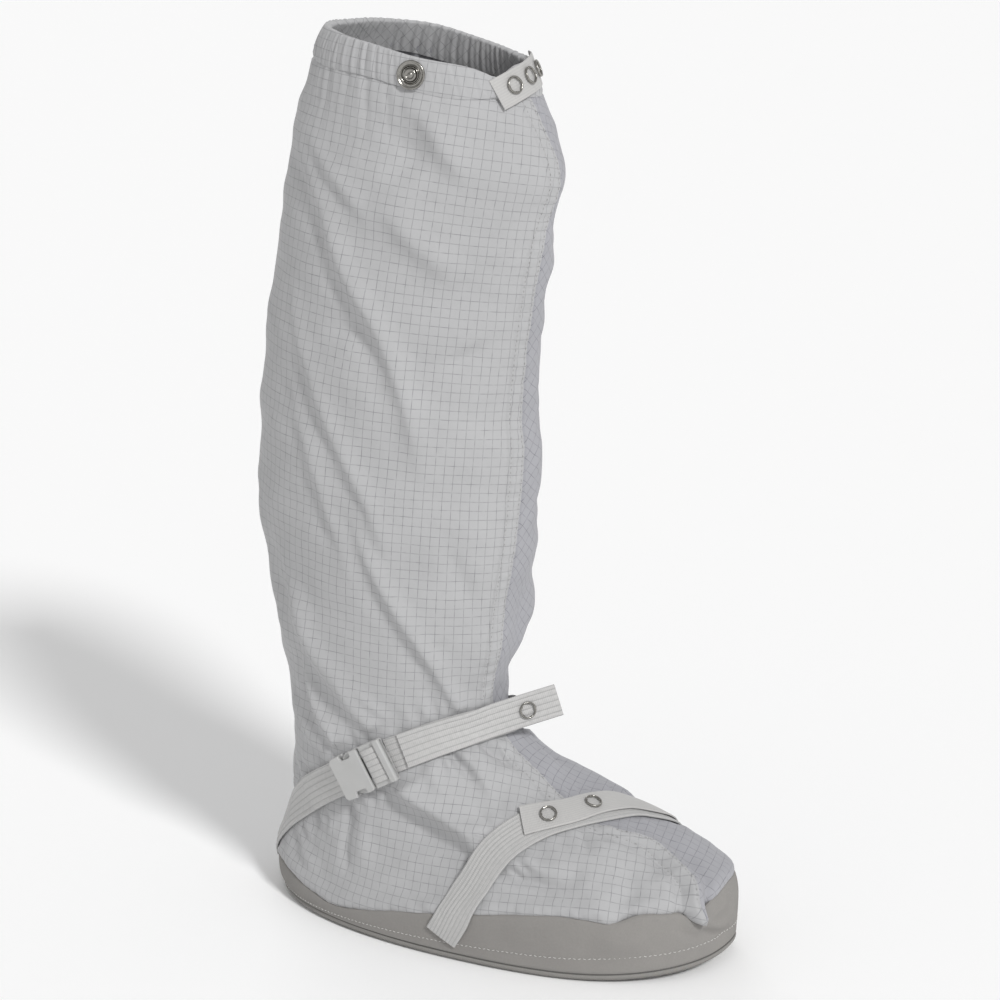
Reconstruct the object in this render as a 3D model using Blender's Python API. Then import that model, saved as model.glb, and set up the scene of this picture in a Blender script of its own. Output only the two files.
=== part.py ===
"""Knee-high cleanroom boot, right foot: a slack cloth sleeve on a soft fabric sole.

The toe points along +X, the outer side faces -Y and +Z is up. The origin is on the
floor under the middle of the sole. Every length is in metres.
"""

import math

import bpy
import numpy as np
from mathutils import Vector
from mathutils.bvhtree import BVHTree

# driving sizes
SOLE_LENGTH = 0.276
BALL_WIDTH = 0.127
INSTEP_HEIGHT = 0.098
BOOT_HEIGHT = 0.495

CLOTH_WALL = 0.0011
HEM_STEP = 0.0007
HEM_WIDTH = 0.017
BAND_WALL = 0.0012
SOLE_THICKNESS = 0.0042
INSOLE_THICKNESS = 0.0018
TOE_SPRING = 0.006
HEEL_LIFT = 0.002
FLAT_FROM = -0.100
FLAT_TO = 0.062
GAP = 0.0003

STRAP_WIDTH = 0.020
STRAP_WALL = 0.0012
TAB_WIDTH = 0.017
TAB_WALL = 0.0010
FREE_END = 0.047

BUCKLE_WIDTH = 0.0255
BUCKLE_HEIGHT = 0.0066
SOCKET_LENGTH = 0.0205
PLUG_LENGTH = 0.0150

SNAP_RADIUS = 0.0048
SNAP_WIRE = 0.0008
STUD_RADIUS = 0.0075
STUD_HEIGHT = 0.0032

AROUND = 52
ROWS_PER_SECTION = 2
BAND_ROWS = (0.35, 0.70, 1.0)

# One row per named section, from the sole edge up to the rim. Lengths along the boot are
# shares of SOLE_LENGTH, heights shares of INSTEP_HEIGHT (foot) or BOOT_HEIGHT (leg), and
# half widths shares of BALL_WIDTH. Widest is where the half widths are met, as a share
# from back to front. Roundness 2 is an ellipse. Seam turn is in degrees to the outside.
# name, height of, back, back height, front, front height, outer half, inner half,
# widest, back roundness, front roundness, seam turn
SECTIONS = [
    ("sole_edge", "foot", -0.496, 0.051, 0.500, 0.112, 0.559, 0.441, 0.55, 2.2, 2.3, 8),
    ("band_top", "foot", -0.507, 0.102, 0.500, 0.388, 0.551, 0.449, 0.55, 2.2, 2.3, 18),
    ("low", "foot", -0.511, 0.245, 0.471, 0.520, 0.496, 0.417, 0.55, 2.2, 2.2, 20),
    ("toe_top", "foot", -0.496, 0.388, 0.377, 0.653, 0.449, 0.370, 0.52, 2.1, 2.1, 24),
    ("vamp", "foot", -0.475, 0.571, 0.246, 0.776, 0.409, 0.331, 0.50, 2.1, 2.0, 22),
    ("instep", "foot", -0.467, 0.776, 0.094, 0.949, 0.394, 0.331, 0.48, 2.1, 2.0, 12),
    ("ankle_low", "foot", -0.467, 1.000, 0.014, 1.163, 0.394, 0.346, 0.48, 2.1, 1.9, 10),
    ("ankle", "leg", -0.471, 0.251, 0.022, 0.279, 0.394, 0.362, 0.48, 2.1, 1.8, 18),
    ("calf_low", "leg", -0.500, 0.347, 0.062, 0.356, 0.441, 0.409, 0.48, 2.1, 1.7, 22),
    ("calf", "leg", -0.529, 0.505, 0.072, 0.505, 0.472, 0.425, 0.48, 2.1, 1.7, 15),
    ("calf_high", "leg", -0.507, 0.646, 0.069, 0.642, 0.472, 0.425, 0.48, 2.1, 1.7, 12),
    ("knee", "leg", -0.467, 0.788, 0.098, 0.776, 0.457, 0.425, 0.48, 2.1, 1.7, 9),
    ("below_hem", "leg", -0.442, 0.873, 0.127, 0.848, 0.425, 0.409, 0.48, 2.1, 1.8, 5),
    ("hem", "leg", -0.391, 0.966, 0.065, 0.933, 0.370, 0.354, 0.48, 2.1, 2.0, 6),
    ("rim", "leg", -0.359, 1.000, 0.040, 0.966, 0.354, 0.346, 0.48, 2.1, 2.0, 8),
]
SECTION_NUMBER = {row[0]: number for number, row in enumerate(SECTIONS)}

# Where the middle of each strap runs: section number, degrees round from the back
# (90 is the outer side, 180 the front, 270 the inner side).
REAR_STRAP = [(1.75, 6), (2.45, 13), (3.40, 24), (4.15, 41), (4.78, 62), (5.20, 81)]
FRONT_STRAP = [
    (5.72, 112),
    (6.03, 139),
    (6.20, 163),
    (6.20, 188),
    (6.02, 212),
    (5.60, 240),
    (4.95, 272),
    (4.10, 305),
    (3.00, 332),
    (1.75, 354),
]
FREE_STRAP = [(5.83, 120), (6.03, 139), (6.20, 160)]
BUCKLE_ENDS = [(5.14, 78), (5.80, 117)]
INSTEP_STRAP = [
    (0.38, 91),
    (1.93, 103),
    (3.20, 128),
    (3.90, 153),
    (4.08, 173),
    (4.05, 190),
    (3.80, 212),
    (3.05, 232),
    (1.20, 254),
]
INSTEP_TAB = [
    (4.00, 150),
    (4.08, 162),
    (4.12, 175),
    (4.14, 190),
    (3.90, 212),
    (3.15, 232),
    (1.30, 254),
]
COLLAR_TAB = [(13.05, 154), (13.30, 174), (13.50, 196), (13.52, 222)]
STUD_PLACE = (13.28, 110)

# name, strap it sits on, share along that strap
SNAPS = [
    ("snap_ankle", "free", 0.83),
    ("snap_instep_outer", "instep_tab", 0.115),
    ("snap_instep_middle", "instep_tab", 0.33),
    ("snap_collar_outer", "collar_tab", 0.20),
    ("snap_collar_middle", "collar_tab", 0.44),
    ("snap_collar_inner", "collar_tab", 0.68),
]

COLOURS = {
    "cloth": (0.55, 0.56, 0.57),
    "band": (0.29, 0.29, 0.28),
    "sole": (0.25, 0.25, 0.24),
    "insole": (0.42, 0.42, 0.42),
    "webbing": (0.66, 0.66, 0.64),
    "plastic": (0.68, 0.68, 0.67),
    "metal": (0.60, 0.60, 0.60),
}


# scene
def clear_scene():
    for thing in list(bpy.data.objects):
        bpy.data.objects.remove(thing, do_unlink=True)
    for collection in list(bpy.data.collections):
        bpy.data.collections.remove(collection)


def new_collection(name):
    collection = bpy.data.collections.new(name)
    bpy.context.scene.collection.children.link(collection)
    return collection


def material(name, colour, roughness, metallic=0.0):
    made = bpy.data.materials.new(name)
    made.use_nodes = True
    shader = made.node_tree.nodes["Principled BSDF"]
    shader.inputs["Base Color"].default_value = (*colour, 1.0)
    shader.inputs["Roughness"].default_value = roughness
    shader.inputs["Metallic"].default_value = metallic
    made.diffuse_color = (*colour, 1.0)
    return made


def mesh_object(name, points, faces, collection, surface, smooth=True):
    mesh = bpy.data.meshes.new(name)
    mesh.from_pydata([tuple(p) for p in points], [], faces)
    mesh.validate()
    mesh.update()
    if smooth:
        mesh.shade_smooth()
    made = bpy.data.objects.new(name, mesh)
    if surface is not None:
        made.data.materials.append(surface)
    collection.objects.link(made)
    return made


def cut(target, cutter):
    modifier = target.modifiers.new("cut " + cutter.name, "BOOLEAN")
    modifier.operation = "DIFFERENCE"
    modifier.solver = "EXACT"
    modifier.object = cutter
    cutter.hide_render = True
    cutter.display_type = "WIRE"


# the last shape
def section_table():
    """The sections in metres, one row each, ready to be interpolated."""
    heights = {"foot": INSTEP_HEIGHT, "leg": BOOT_HEIGHT}
    rows = []
    for row in SECTIONS:
        (_, of, back, back_z, front, front_z, outer, inner, widest, round_b, round_f, turn) = row
        tall = heights[of]
        rows.append(
            [
                back * SOLE_LENGTH,
                back_z * tall,
                front * SOLE_LENGTH,
                front_z * tall,
                outer * BALL_WIDTH,
                inner * BALL_WIDTH,
                widest,
                round_b,
                round_f,
                math.radians(turn),
            ]
        )
    return np.array(rows)


TABLE = section_table()


def blend(number):
    """Catmull-Rom blend of the section rows at each section number."""
    last = len(TABLE) - 1
    number = np.clip(np.asarray(number, float), 0.0, last)
    low = np.minimum(number.astype(int), last - 1)
    t = (number - low)[..., None]
    p0 = TABLE[np.maximum(low - 1, 0)]
    p1 = TABLE[low]
    p2 = TABLE[low + 1]
    p3 = TABLE[np.minimum(low + 2, last)]
    return 0.5 * (
        2 * p1
        + (p2 - p0) * t
        + (2 * p0 - 5 * p1 + 4 * p2 - p3) * t * t
        + (3 * p1 - p0 - 3 * p2 + p3) * t**3
    )


def last_point(number, angle):
    """Points of the last at section numbers and angles in radians, both arrays.

    Past the rim the wall is carried straight on, for a tab that stands over it.
    """
    top = len(TABLE) - 1
    over = np.clip(np.asarray(number, float) - top, 0, None)[..., None]
    slope = (section_point(top, angle) - section_point(top - 0.05, angle)) / 0.05
    return section_point(number, angle) + slope * over


def section_point(number, angle):
    row = blend(number)
    back, back_z, front, front_z, outer, inner, widest, round_b, round_f, turn = np.moveaxis(
        row, -1, 0
    )
    turned = angle - turn * (1 - np.cos(angle)) / 2
    c = np.cos(turned)
    s = np.sin(turned)
    power = 2 / np.where(c > 0, round_b, round_f)
    along = np.abs(c) ** power
    across = np.abs(s) ** power
    middle = back + widest * (front - back)
    x = np.where(c > 0, middle - (middle - back) * along, middle + (front - middle) * along)
    y = -np.where(s > 0, outer, -inner) * across
    share = np.clip((x - back) / (front - back), 0, 1)
    z = back_z + (front_z - back_z) * share * share * (3 - 2 * share)
    return np.stack([x, y, z], -1)


def last_frame(number, angle):
    """Point, slope per section, slope per radian and outward normal of the last."""
    number, angle = np.broadcast_arrays(np.asarray(number, float), np.asarray(angle, float))
    low = np.clip(number - 0.02, 0, None)
    high = np.clip(number + 0.02, 0.02, None)
    up = (last_point(high, angle) - last_point(low, angle)) / (high - low)[..., None]
    step = 0.02
    ahead = last_point(number, angle + step) - last_point(number, angle - step)
    round_it = ahead / (2 * step)
    normal = np.cross(round_it, up)
    normal /= np.linalg.norm(normal, axis=-1, keepdims=True)
    return last_point(number, angle), up, round_it, normal


def offset_ring(number, away, count=AROUND):
    angle = np.linspace(0, 2 * math.pi, count, endpoint=False)
    number = np.full(count, float(number))
    point, _, _, normal = last_frame(number, angle)
    return point + normal * away


def sole_lift(x):
    """Height of the sole's underside above the floor: it curls up at toe and heel."""
    toe = np.clip((x - FLAT_TO) / (SOLE_LENGTH / 2 - FLAT_TO), 0, 1)
    heel = np.clip((FLAT_FROM - x) / (SOLE_LENGTH / 2 + FLAT_FROM), 0, 1)
    return TOE_SPRING * toe**2 + HEEL_LIFT * heel**2


def ring_faces(rows, count, closed, turned_from=None):
    """Triangles between rows of a ring grid; closed joins the last row to the first.

    Rows from turned_from on run back down, so their squares are split the other way:
    facets of neighbouring walls then lie parallel.
    """
    faces = []
    for r in range(rows if closed else rows - 1):
        s = (r + 1) % rows
        for k in range(count):
            m = (k + 1) % count
            a, b = r * count + k, r * count + m
            c, d = s * count + m, s * count + k
            if turned_from is not None and r >= turned_from:
                faces += [(a, b, d), (b, c, d)]
            else:
                faces += [(a, b, c), (a, c, d)]
    return faces


def shell(name, outer, inner, collection, surface):
    """A hollow ring of wall: outer rows go up, inner rows come back down."""
    rows = outer + inner[::-1]
    faces = ring_faces(len(rows), AROUND, True, len(outer))
    return mesh_object(name, np.concatenate(rows), faces, collection, surface)


def slab(name, rows, collection, surface):
    """A solid from rings going up, its bottom and top filled by strips across it."""
    count = len(rows[0])
    faces = ring_faces(len(rows), count, False)
    last = (len(rows) - 1) * count
    half = count // 2
    for k in range(half):
        a = k
        b = k + 1
        c = (count - k - 1) % count
        d = (count - k) % count
        bottom = [a, d, c, b]
        top = [last + b, last + c, last + d, last + a]
        if k == 0:
            bottom = [a, c, b]
            top = [last + b, last + c, last + a]
        if k == half - 1:
            bottom = [a, d, b]
            top = [last + b, last + d, last + a]
        faces.append(tuple(bottom))
        faces.append(tuple(top))
    return mesh_object(name, np.concatenate(rows), faces, collection, surface)


# upper, band and soles
def section_rows():
    """Section numbers from just over the band's top edge up to the hem's lower edge."""
    hem = hem_number()
    step = 1 / ROWS_PER_SECTION
    start = ledge_number() + 0.05
    rows = [start]
    number = 1 + step
    while number < hem - 0.1:
        rows.append(number)
        number += step
    return rows


def hem_number():
    """Section number where the hem's lower edge runs."""
    top = SECTION_NUMBER["rim"]
    tall = TABLE[top, 1] - TABLE[top - 1, 1]
    return top - HEM_WIDTH / tall


def ledge_number():
    """Section number a gap's height over the band's top edge, where the gap is largest."""
    steep = TABLE[2, 3] - TABLE[1, 3]
    return 1 + GAP / min(steep, TABLE[2, 1] - TABLE[1, 1]) * 1.2


def base_ring(away):
    """The lowest ring of the upper or the band: it stands a gap over the outsole."""
    angle = np.linspace(0, 2 * math.pi, AROUND, endpoint=False)
    point, _, _, normal = last_frame(np.zeros(AROUND), angle)
    flat = normal[:, :2] / np.linalg.norm(normal[:, :2], axis=1, keepdims=True)
    plan = point[:, :2] + flat * away
    return np.column_stack([plan, sole_lift(plan[:, 0]) + SOLE_THICKNESS + GAP])


def build_upper(collection, surface):
    tucked = -(BAND_WALL + GAP)
    ledge = ledge_number()
    hem = hem_number()
    rim = SECTION_NUMBER["rim"]
    outer = [
        base_ring(tucked),
        *[offset_ring(n, tucked) for n in BAND_ROWS],
        offset_ring(ledge, tucked),
        offset_ring(ledge + 0.01, 0),
    ]
    outer += [offset_ring(n, 0) for n in section_rows()]
    outer += [
        offset_ring(hem, 0),
        offset_ring(hem + 0.02, HEM_STEP),
        offset_ring((hem + rim) / 2, HEM_STEP),
        offset_ring(rim, HEM_STEP),
    ]
    inner = [
        base_ring(tucked - CLOTH_WALL),
        *[offset_ring(n, tucked - CLOTH_WALL) for n in BAND_ROWS],
        offset_ring(ledge, tucked - CLOTH_WALL),
    ]
    inner += [offset_ring(n, -CLOTH_WALL) for n in section_rows()]
    inner += [
        offset_ring(hem, -CLOTH_WALL),
        offset_ring((hem + rim) / 2, -CLOTH_WALL),
        offset_ring(rim, -CLOTH_WALL),
    ]
    return shell("upper", outer, inner, collection, surface)


def build_band(collection, surface):
    outer = [base_ring(0), *[offset_ring(n, 0) for n in BAND_ROWS]]
    inner = [base_ring(-BAND_WALL), *[offset_ring(n, -BAND_WALL) for n in BAND_ROWS]]
    return shell("foxing", outer, inner, collection, surface)


def flat_outline(inset):
    """The sole edge in plan, symmetric by index so that strips can cross it."""
    turned = np.linspace(0, 2 * math.pi, AROUND, endpoint=False)
    back, _, front, _, outer, inner, widest, round_b, round_f, _ = TABLE[0]
    c = np.cos(turned)
    s = np.sin(turned)
    power = 2 / np.where(c > 0, round_b, round_f)
    middle = back + widest * (front - back)
    along = np.abs(c) ** power
    x = np.where(c > 0, middle - (middle - back) * along, middle + (front - middle) * along)
    y = -np.where(s > 0, outer, -inner) * np.abs(s) ** power
    plan = np.stack([x, y], -1)
    ahead = np.roll(plan, -1, 0) - np.roll(plan, 1, 0)
    outward = np.stack([ahead[:, 1], -ahead[:, 0]], -1)
    outward /= np.linalg.norm(outward, axis=1, keepdims=True)
    side = np.sign((outward * (plan - plan.mean(0))).sum(1))
    return plan - outward * side[:, None] * inset


def slab_rings(profile):
    """Rings of a sole from (inset, height) pairs, lifted along the sole's curve."""
    rings = []
    for inset, height in profile:
        plan = flat_outline(inset)
        z = sole_lift(plan[:, 0]) + height
        rings.append(np.column_stack([plan, z]))
    return rings


def build_outsole(collection, surface):
    t = SOLE_THICKNESS
    profile = [
        (1.30 * t, 0.0),
        (0.55 * t, 0.10 * t),
        (0.12 * t, 0.38 * t),
        (0.0, 0.65 * t),
        (0.03 * t, 0.88 * t),
        (0.20 * t, t),
    ]
    return slab("outsole", slab_rings(profile), collection, surface)


def build_insole(collection, surface):
    start = SOLE_THICKNESS + GAP
    inset = BAND_WALL + CLOTH_WALL + 5 * GAP
    profile = [(inset, start), (inset, start + INSOLE_THICKNESS)]
    return slab("insole", slab_rings(profile), collection, surface)


# straps
def strap_path(places, steps):
    """Even steps along a strap's middle line, as section numbers and radians."""
    places = np.array(places, float)
    knots = last_point(places[:, 0], np.radians(places[:, 1]))
    rows = np.column_stack([places[:, 0], np.radians(places[:, 1]), knots])
    dense = np.linspace(0, len(places) - 1, 20 * len(places))
    low = np.minimum(dense.astype(int), len(places) - 2)
    t = (dense - low)[:, None]
    p0 = rows[np.maximum(low - 1, 0)]
    p1 = rows[low]
    p2 = rows[low + 1]
    p3 = rows[np.minimum(low + 2, len(places) - 1)]
    line = 0.5 * (
        2 * p1
        + (p2 - p0) * t
        + (2 * p0 - 5 * p1 + 4 * p2 - p3) * t**2
        + (3 * p1 - p0 - 3 * p2 + p3) * t**3
    )
    number = line[:, 0]
    angle = line[:, 1]
    for _ in range(6):
        point, up, round_it, _ = last_frame(number, angle)
        step_up, step_round = share_out(line[:, 2:] - point, up, round_it)
        number = np.clip(number + 0.8 * step_up, 0, None)
        angle = angle + 0.8 * step_round
    point = last_point(number, angle)
    run = np.concatenate([[0], np.cumsum(np.linalg.norm(np.diff(point, axis=0), axis=1))])
    even = np.linspace(0, run[-1], steps + 1)
    return np.interp(even, run, number), np.interp(even, run, angle), run[-1]


def share_out(move, up, round_it):
    """Splits a move over the last into a change of section number and of angle."""
    uu = (up * up).sum(1)
    ur = (up * round_it).sum(1)
    rr = (round_it * round_it).sum(1)
    mu = (move * up).sum(1)
    mr = (move * round_it).sum(1)
    det = uu * rr - ur * ur
    return (mu * rr - mr * ur) / det, (mr * uu - mu * ur) / det


def strap_sides(number, angle, reach, hops=4):
    """Walk from the middle line square to it over the last, reach to each side."""
    point = last_point(number, angle)
    along = np.gradient(point, axis=0)
    along /= np.linalg.norm(along, axis=1, keepdims=True)
    _, _, _, normal = last_frame(number, angle)
    sideways = np.cross(normal, along)
    sideways /= np.linalg.norm(sideways, axis=1, keepdims=True)
    for _ in range(hops):
        _, up, round_it, _ = last_frame(number, angle)
        step_up, step_round = share_out(sideways * reach / hops, up, round_it)
        number = number + step_up
        angle = angle + step_round
    return number, angle


def strap_grid(places, steps, width, lift, wall, columns=3):
    """Lower and upper surface of a strap that lies over the last, as point grids."""
    number, angle, _ = strap_path(places, steps)
    under = []
    over = []
    for share in np.linspace(-0.5, 0.5, columns):
        n, a = strap_sides(number, angle, share * width)
        point, _, _, normal = last_frame(n, a)
        under.append(point + normal * lift)
        over.append(point + normal * (lift + wall))
    return np.array(under), np.array(over)


def tree_of(made):
    """A search tree over an object's faces, to find how high they stand."""
    mesh = made.data
    return BVHTree.FromPolygons(
        [v.co for v in mesh.vertices], [tuple(p.vertices) for p in mesh.polygons]
    )


def clear_of(under, over, trees, rounds=6, samples=7):
    """Raises a strap's points until its facets clear the facets of what it lies on."""
    shares = np.linspace(0, 1, samples)
    for _ in range(rounds):
        raise_by = np.zeros(under.shape[:2])
        for c in range(under.shape[0] - 1):
            for k in range(under.shape[1] - 1):
                corners = under[c : c + 2, k : k + 2]
                out = over[c, k] - under[c, k]
                out = out / np.linalg.norm(out)
                short = 0.0
                for a in shares:
                    for b in shares:
                        low = corners[0, 0] * (1 - b) + corners[0, 1] * b
                        high = corners[1, 0] * (1 - b) + corners[1, 1] * b
                        point = low * (1 - a) + high * a
                        for tree in trees:
                            start = point + out * 0.008
                            hit = tree.ray_cast(Vector(start), Vector(-out), 0.016)
                            if hit[0] is not None:
                                short = max(short, 0.008 - hit[3] + 1.2 * GAP)
                block = raise_by[c : c + 2, k : k + 2]
                raise_by[c : c + 2, k : k + 2] = np.maximum(block, short)
        if raise_by.max() < 1e-5:
            break
        out = over - under
        out = out / np.linalg.norm(out, axis=2, keepdims=True)
        under = under + out * raise_by[..., None]
        over = over + out * raise_by[..., None]
    return under, over


def grid_solid(name, under, over, collection, surface):
    """Closes two grids of points, shaped columns by steps, into one flat strap."""
    columns, steps = under.shape[:2]
    loop = [(c, 0) for c in range(columns)] + [(c, 1) for c in range(columns - 1, -1, -1)]
    count = len(loop)
    points = []
    for k in range(steps):
        for c, layer in loop:
            points.append((over if layer else under)[c, k])
    faces = []
    for k in range(steps - 1):
        for i in range(count):
            j = (i + 1) % count
            faces.append((k * count + i, k * count + j, (k + 1) * count + j, (k + 1) * count + i))
    for c in range(columns - 1):
        for k, flip in ((0, False), (steps - 1, True)):
            quad = [k * count + c, k * count + count - 1 - c]
            quad += [k * count + count - 2 - c, k * count + c + 1]
            faces.append(tuple(quad[::-1] if flip else quad))
    made = mesh_object(name, points, faces, collection, surface)
    if signed_volume(points, faces) < 0:
        made.data.flip_normals()
    return made


def signed_volume(points, faces):
    total = 0.0
    points = np.array(points)
    for face in faces:
        for k in range(1, len(face) - 1):
            a, b, c = points[face[0]], points[face[k]], points[face[k + 1]]
            total += float(np.dot(a, np.cross(b, c)))
    return total


def run_on(under, over, length, steps, droop):
    """Carries a strap's last row straight on, off the boot, with a slight droop."""
    way = under[:, -1].mean(0) - under[:, -2].mean(0)
    way /= np.linalg.norm(way)
    shares = np.linspace(0, 1, steps + 1)[1:]
    move = way[None] * (shares * length)[:, None]
    move[:, 2] -= droop * shares**2
    flat = np.minimum(1, 2.5 * shares)[:, None]
    more = []
    for grid in (under, over):
        row = grid[:, -1][:, None, :] + move[None]
        straight = np.linspace(0, 1, len(grid))[:, None, None]
        level = row[:1] * (1 - straight) + row[-1:] * straight
        more.append(np.concatenate([grid, row * (1 - flat) + level * flat], 1))
    return more


def place_on(under, over, share):
    """Middle point, along, across and normal of a strap's upper face at a share along."""
    column = over.shape[0] // 2
    middle = over[column]
    run = np.concatenate([[0], np.cumsum(np.linalg.norm(np.diff(middle, axis=0), axis=1))])
    want = share * run[-1]

    def at(rows, where):
        return np.array([np.interp(where, run, rows[:, i]) for i in range(3)])

    along = at(middle, want + 0.004) - at(middle, want - 0.004)
    along /= np.linalg.norm(along)
    normal = at(over[column] - under[column], want)
    normal -= along * np.dot(along, normal)
    normal /= np.linalg.norm(normal)
    return at(middle, want), along, np.cross(normal, along), normal


def rise_within(over, place, radius):
    """How far a strap's upper face stands over a place's plane within a radius."""
    fine = []
    for a in np.linspace(0, over.shape[0] - 1, 4 * (over.shape[0] - 1) + 1):
        low = min(int(a), over.shape[0] - 2)
        fine.append(over[low] * (1 - a + low) + over[low + 1] * (a - low))
    fine = np.array(fine)
    steps = np.linspace(0, fine.shape[1] - 1, 8 * (fine.shape[1] - 1) + 1)
    low = np.minimum(steps.astype(int), fine.shape[1] - 2)
    t = (steps - low)[None, :, None]
    fine = (fine[:, low] * (1 - t) + fine[:, low + 1] * t).reshape(-1, 3)
    point, along, across, normal = place
    local = fine - point
    near = np.hypot(local @ along, local @ across) < radius + 0.0008
    return max(0.0, float((local[near] @ normal).max()))


# small hardware
def to_place(points, place):
    """Local points (along, across, out) moved to a place on the boot."""
    point, along, across, normal = place
    local = np.array(points, float)
    return point + local[:, :1] * along + local[:, 1:2] * across + local[:, 2:] * normal


def lathe(name, profile, place, collection, surface, steps=16, closed=True):
    """Turns a closed profile of (radius, height) round the place's normal."""
    angles = np.linspace(0, 2 * math.pi, steps, endpoint=False)
    points = []
    for radius, height in profile:
        for angle in angles:
            points.append((radius * math.cos(angle), radius * math.sin(angle), height))
    faces = ring_faces(len(profile), steps, closed)
    if not closed:
        faces.append(tuple(range(steps))[::-1])
        start = (len(profile) - 1) * steps
        faces.append(tuple(range(start, start + steps)))
    placed = to_place(points, place)
    made = mesh_object(name, placed, faces, collection, surface)
    if signed_volume(placed, faces) < 0:
        made.data.flip_normals()
    return made


def extrude(name, outline, low, high, place, collection, surface):
    """A prism over an outline of (along, across), from height low to high."""
    count = len(outline)
    points = [(a, b, low) for a, b in outline] + [(a, b, high) for a, b in outline]
    faces = [tuple(range(count))[::-1], tuple(range(count, 2 * count))]
    for k in range(count):
        m = (k + 1) % count
        faces.append((k, m, count + m, count + k))
    placed = to_place(points, place)
    made = mesh_object(name, placed, faces, collection, surface, smooth=False)
    if signed_volume(placed, faces) < 0:
        made.data.flip_normals()
    return made


def rounded(length, width, corner, start=0.0, steps=3):
    """Outline of a rectangle with round corners, from start along, centred across."""
    points = []
    centres = (
        (start + length - corner, width / 2 - corner, 0),
        (start + corner, width / 2 - corner, 90),
        (start + corner, -width / 2 + corner, 180),
        (start + length - corner, -width / 2 + corner, 270),
    )
    for a, b, begin in centres:
        for k in range(steps + 1):
            angle = math.radians(begin + 90 * k / steps)
            points.append((a + corner * math.cos(angle), b + corner * math.sin(angle)))
    return points


def buckle_place(trees):
    """Where the buckle starts: laid flat over the ankle, just clear of what is below."""
    ends = np.array(BUCKLE_ENDS, float)
    first, last = last_point(ends[:, 0], np.radians(ends[:, 1]))
    number, degrees = ends.mean(0)
    middle, _, _, normal = last_frame(number, math.radians(degrees))
    along = last - first
    along -= normal * np.dot(along, normal)
    along /= np.linalg.norm(along)
    across = np.cross(normal, along)
    length = SOCKET_LENGTH + GAP + PLUG_LENGTH
    start = middle - along * length / 2
    rise = 0.0
    for a in np.linspace(0, length, 25):
        for b in np.linspace(-0.5, 0.5, 15):
            point = start + along * a + across * b * BUCKLE_WIDTH
            for tree in trees:
                above = point + normal * 0.02
                hit = tree.ray_cast(Vector(above), Vector(-normal), 0.03)
                if hit[0] is not None:
                    rise = max(rise, 0.02 - hit[3])
    return start + normal * (rise + 1.5 * GAP), along, across, normal


def build_socket(place, collection, helpers, surface):
    """The buckle's female half: a flat box open at the front, with a notch each side."""
    body = extrude(
        "buckle_socket",
        rounded(SOCKET_LENGTH, BUCKLE_WIDTH, 0.0025),
        0,
        BUCKLE_HEIGHT,
        place,
        collection,
        surface,
    )
    mouth = [
        (0.30 * SOCKET_LENGTH, -0.40 * BUCKLE_WIDTH),
        (1.10 * SOCKET_LENGTH, -0.40 * BUCKLE_WIDTH),
        (1.10 * SOCKET_LENGTH, 0.40 * BUCKLE_WIDTH),
        (0.30 * SOCKET_LENGTH, 0.40 * BUCKLE_WIDTH),
    ]
    cavity = extrude(
        "cut_socket_mouth",
        mouth,
        0.22 * BUCKLE_HEIGHT,
        0.78 * BUCKLE_HEIGHT,
        place,
        helpers,
        None,
    )
    cut(body, cavity)
    for side in (-1, 1):
        notch = [
            (0.38 * SOCKET_LENGTH, side * 0.33 * BUCKLE_WIDTH),
            (0.72 * SOCKET_LENGTH, side * 0.33 * BUCKLE_WIDTH),
            (0.72 * SOCKET_LENGTH, side * 0.60 * BUCKLE_WIDTH),
            (0.38 * SOCKET_LENGTH, side * 0.60 * BUCKLE_WIDTH),
        ]
        cutter = extrude(
            "cut_socket_notch_" + ("a" if side < 0 else "b"),
            notch,
            -BUCKLE_HEIGHT,
            2 * BUCKLE_HEIGHT,
            place,
            helpers,
            None,
        )
        cut(body, cutter)
    return body


def build_plug(place, collection, surface):
    """The buckle's male half: a bar and two prongs that reach into the socket."""
    front = SOCKET_LENGTH + GAP
    w = BUCKLE_WIDTH
    prong_tip = 0.36 * SOCKET_LENGTH
    outline = [
        (front, -0.38 * w),
        (front, -0.5 * w),
        (front + PLUG_LENGTH, -0.5 * w),
        (front + PLUG_LENGTH, 0.5 * w),
        (front, 0.5 * w),
        (front, 0.38 * w),
        (prong_tip + 0.35 * SOCKET_LENGTH, 0.38 * w),
        (prong_tip, 0.36 * w),
        (prong_tip, 0.26 * w),
        (front, 0.24 * w),
        (front, 0.05 * w),
        (prong_tip, 0.05 * w),
        (prong_tip, -0.05 * w),
        (front, -0.05 * w),
        (front, -0.24 * w),
        (prong_tip, -0.26 * w),
        (prong_tip, -0.36 * w),
        (prong_tip + 0.35 * SOCKET_LENGTH, -0.38 * w),
    ]
    return extrude(
        "buckle_plug",
        outline,
        0.30 * BUCKLE_HEIGHT,
        0.70 * BUCKLE_HEIGHT,
        place,
        collection,
        surface,
    )


def build_snap(name, place, collection, surface):
    wire = SNAP_WIRE
    profile = []
    for k in range(6):
        angle = math.radians(60 * k)
        profile.append(
            (SNAP_RADIUS - wire + wire * math.cos(angle), GAP + wire + wire * math.sin(angle))
        )
    return lathe(name, profile, place, collection, surface)


def build_stud(place, collection, surface):
    r = STUD_RADIUS
    h = STUD_HEIGHT
    profile = [
        (0.94 * r, GAP),
        (r, 0.20 * h),
        (0.97 * r, 0.42 * h),
        (0.84 * r, 0.52 * h),
        (0.70 * r, 0.40 * h),
        (0.56 * r, 0.42 * h),
        (0.50 * r, 0.86 * h),
        (0.40 * r, h),
        (0.24 * r, 0.80 * h),
    ]
    return lathe("collar_stud", profile, place, collection, surface, closed=False)


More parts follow.
